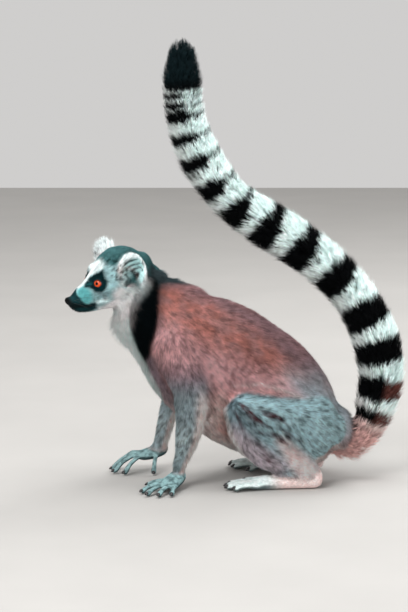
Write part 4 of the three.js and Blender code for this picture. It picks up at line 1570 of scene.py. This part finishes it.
# For a digit of radius 1: half a nail's size along, across and upwards, and its place from the digit's tip.
NAIL = np.array([0.72, 0.58, 0.34])
NAIL_AHEAD, NAIL_ABOVE = 0.62, 1.18
NAIL_TILT = 0.75  # how far its upper side leans ahead


def nail(tip, ahead, radius):
    points, faces = ball(2, 1)
    across = np.cross([0, 0, 1], ahead)
    up = unit(np.array([0, 0, 1.0]) + NAIL_TILT * ahead)
    axes = np.stack([np.cross(across, up), across, up])
    centre = tip + ahead * radius * NAIL_AHEAD + [0, 0, radius * NAIL_ABOVE]
    return centre + (points * NAIL * radius) @ axes, faces


def make_nails():
    """A small dark nail on the end of every finger and toe."""
    mesh = mesh_from("nails", *gathered([nail(*end) for end in digit_ends()]))
    look = plain_look("nail", (34, 32, 34), (500, 3), (0.75, 1.25), (0.3, 0.5), (0.2, 0.0002))
    piece_from("nails", mesh, look)


WHISKER_ROOTS = [
    (-56, 6.5, -19), (-53, 8, -21), (-54, 7.5, -17.5), (-50, 9.5, -19.5), (-51, 9, -23), (-47, 10.5, -21),
    (-57, 6, -22), (-48, 10, -16.5), (-26, 9, 11), (-24, 12, 12), (-21, 15, 11.5),
]
WHISKER_LENGTHS, WHISKER_RADIUS, WHISKER_TAPER = (13, 22), 0.16, 0.85
WHISKER_STRAY, WHISKER_SAG = 0.12, 0.45
WHISKER_STEPS, WHISKER_SIDES = 5, 3
# The way a hair starts, y outwards, and the way it bends: above the eyes and on the muzzle.
BROW_HAIR = np.array([(0.45, 0.35, 0.85), (0.6, 0, -0.1)])
MUZZLE_HAIR = np.array([(0.35, 0.85, -0.12), (0.5, 0, -0.25)])


def whisker(spot, side, rng):
    long = rng.uniform(*WHISKER_LENGTHS)
    away, sag = (BROW_HAIR if spot[2] > 0 else MUZZLE_HAIR) * [1, side, 1]
    away = unit(away + rng.normal(0, WHISKER_STRAY, 3))
    t = np.linspace(0, 1, WHISKER_STEPS)[:, None]
    path = np.array(spot) * [1, side, 1] + away * t * long + sag * t**2 * long * WHISKER_SAG
    across = unit(np.cross(away, [0, 0, 1.0]))
    turn = np.linspace(0, 2 * math.pi, WHISKER_SIDES, endpoint=False)
    ring = np.outer(np.cos(turn), across) + np.outer(np.sin(turn), np.cross(away, across))
    points = path[:, None] + (WHISKER_RADIUS * (1 - WHISKER_TAPER * t))[:, None] * ring
    return points.reshape(-1, 3), tube_faces(WHISKER_STEPS, WHISKER_SIDES)


def make_whiskers():
    """A few fine dark hairs on the muzzle and above the eyes, swept back."""
    rng = np.random.default_rng(SEED + 1)
    points, faces = gathered([whisker(spot, side, rng) for spot in WHISKER_ROOTS for side in (LEFT, RIGHT)])
    mesh = mesh_from("whiskers", out_of_head(points), faces)
    look = plain_look("whisker", (28, 26, 28), (300, 2), (0.7, 1.3), (0.4, 0.6), (0.1, 0.0001))
    piece_from("whiskers", mesh, look)


# ---------- the studio, in metres ----------

FLOOR_HALF = 3.0
LIGHTS_AIM = Vector((0, 0, 0.22))
# Lights: their place, how wide they are and their power.
LIGHTS = {
    "key": ((-1.1, -1.7, 1.9), 1.4, 50),
    "top": ((0.2, 0.1, 2.2), 1.4, 30),
    "rim": ((1.3, 1.3, 1.4), 1.0, 24),
    "fill": ((0.7, -2.3, 0.5), 1.6, 26),
}
SKY, SKY_STRENGTH = (0.80, 0.79, 0.78, 1), 0.78
# The camera's distance and what it looks at, in the animal's own frame.
CAMERA_AWAY, CAMERA_AIM = 2900.0, (-34.5, 0, 199)
SENSOR = 36  # its longer side, which takes in the picture's height
PHOTO_HEIGHT = 612  # in pixels


def make_stage():
    mesh = bpy.data.meshes.new("floor")
    corners = [(x * FLOOR_HALF, y * FLOOR_HALF, 0) for x, y in ((-1, -1), (1, -1), (1, 1), (-1, 1))]
    mesh.from_pydata(corners, [], [(0, 1, 2, 3)])
    mesh.materials.append(plain_look("floor", FLOOR, (6, 3), (0.97, 1.03), (0.7, 0.85)).material)
    floor = new_object("floor", mesh)


def make_light():
    world = bpy.data.worlds.new("studio")
    bpy.context.scene.world = world
    bpy.context.scene.view_settings.view_transform = "Standard"
    world.use_nodes = True
    background = world.node_tree.nodes["Background"]
    background.inputs["Color"].default_value = SKY
    background.inputs["Strength"].default_value = SKY_STRENGTH
    for name, (place, size, power) in LIGHTS.items():
        data = bpy.data.lights.new(name, "AREA")
        data.shape = "DISK"
        data.size = size
        data.energy = power
        light = new_object(name, data)
        light.location = place
        light.rotation_euler = (LIGHTS_AIM - Vector(place)).to_track_quat("-Z", "Y").to_euler()


def make_camera():
    """A long lens, a little above the animal's back, looking square at its left side."""
    away = np.array([0, -math.cos(CAMERA_HEIGHT), math.sin(CAMERA_HEIGHT)])
    data = bpy.data.cameras.new("camera")
    data.lens = SENSOR * (CAMERA_AWAY / PX) / PHOTO_HEIGHT
    camera = new_object("camera", data)
    camera.location = to_scene(np.array(CAMERA_AIM) + away * CAMERA_AWAY)
    camera.rotation_euler = Vector(-away).to_track_quat("-Z", "Y").to_euler()
    bpy.context.scene.camera = camera


FINE = ("head", "nose", "ear", "hand", "foot")  # the regions whose skin is thinned least
SKIN_SHADE = 0.8  # the skin's colours as a share of the coat's: painted shade under the coat


def finish_skin(skin, points, fields, unwrap):
    skin.name = "skin_whole"
    mesh = skin.data
    set_smooth(mesh)
    tree = tree_of_points(points)
    near = [tree.find(p)[1] for p in points_of(mesh).tolist()]
    paint(mesh, np.clip(fields["colour"][near] * SKIN_SHADE, 0, 1))
    unwrap.put_on(mesh)
    mesh.materials.append(skin_look().material)
    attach(skin, "root")
    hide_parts(*FLESH)


def make_animal():
    rng = np.random.default_rng(SEED)
    dense, net, nodes, regions, gap, outline = make_dense_skin()
    points = points_of(dense.data)
    fields = dress(dense, net, nodes, regions, gap)
    adjust(fields, points)
    unwrap = Unwrap(dense)
    fine = net.smooth(np.isin(regions, numbers(*FINE)).astype(float), 8)
    finish_skin(thinned(dense, fine), points, fields, unwrap)
    grow_coat(dense, fields, unwrap, outline, rng)
    bpy.data.objects.remove(dense)
    make_eyes()
    make_nails()
    make_whiskers()


make_camera()
make_light()
make_stage()
make_animal()
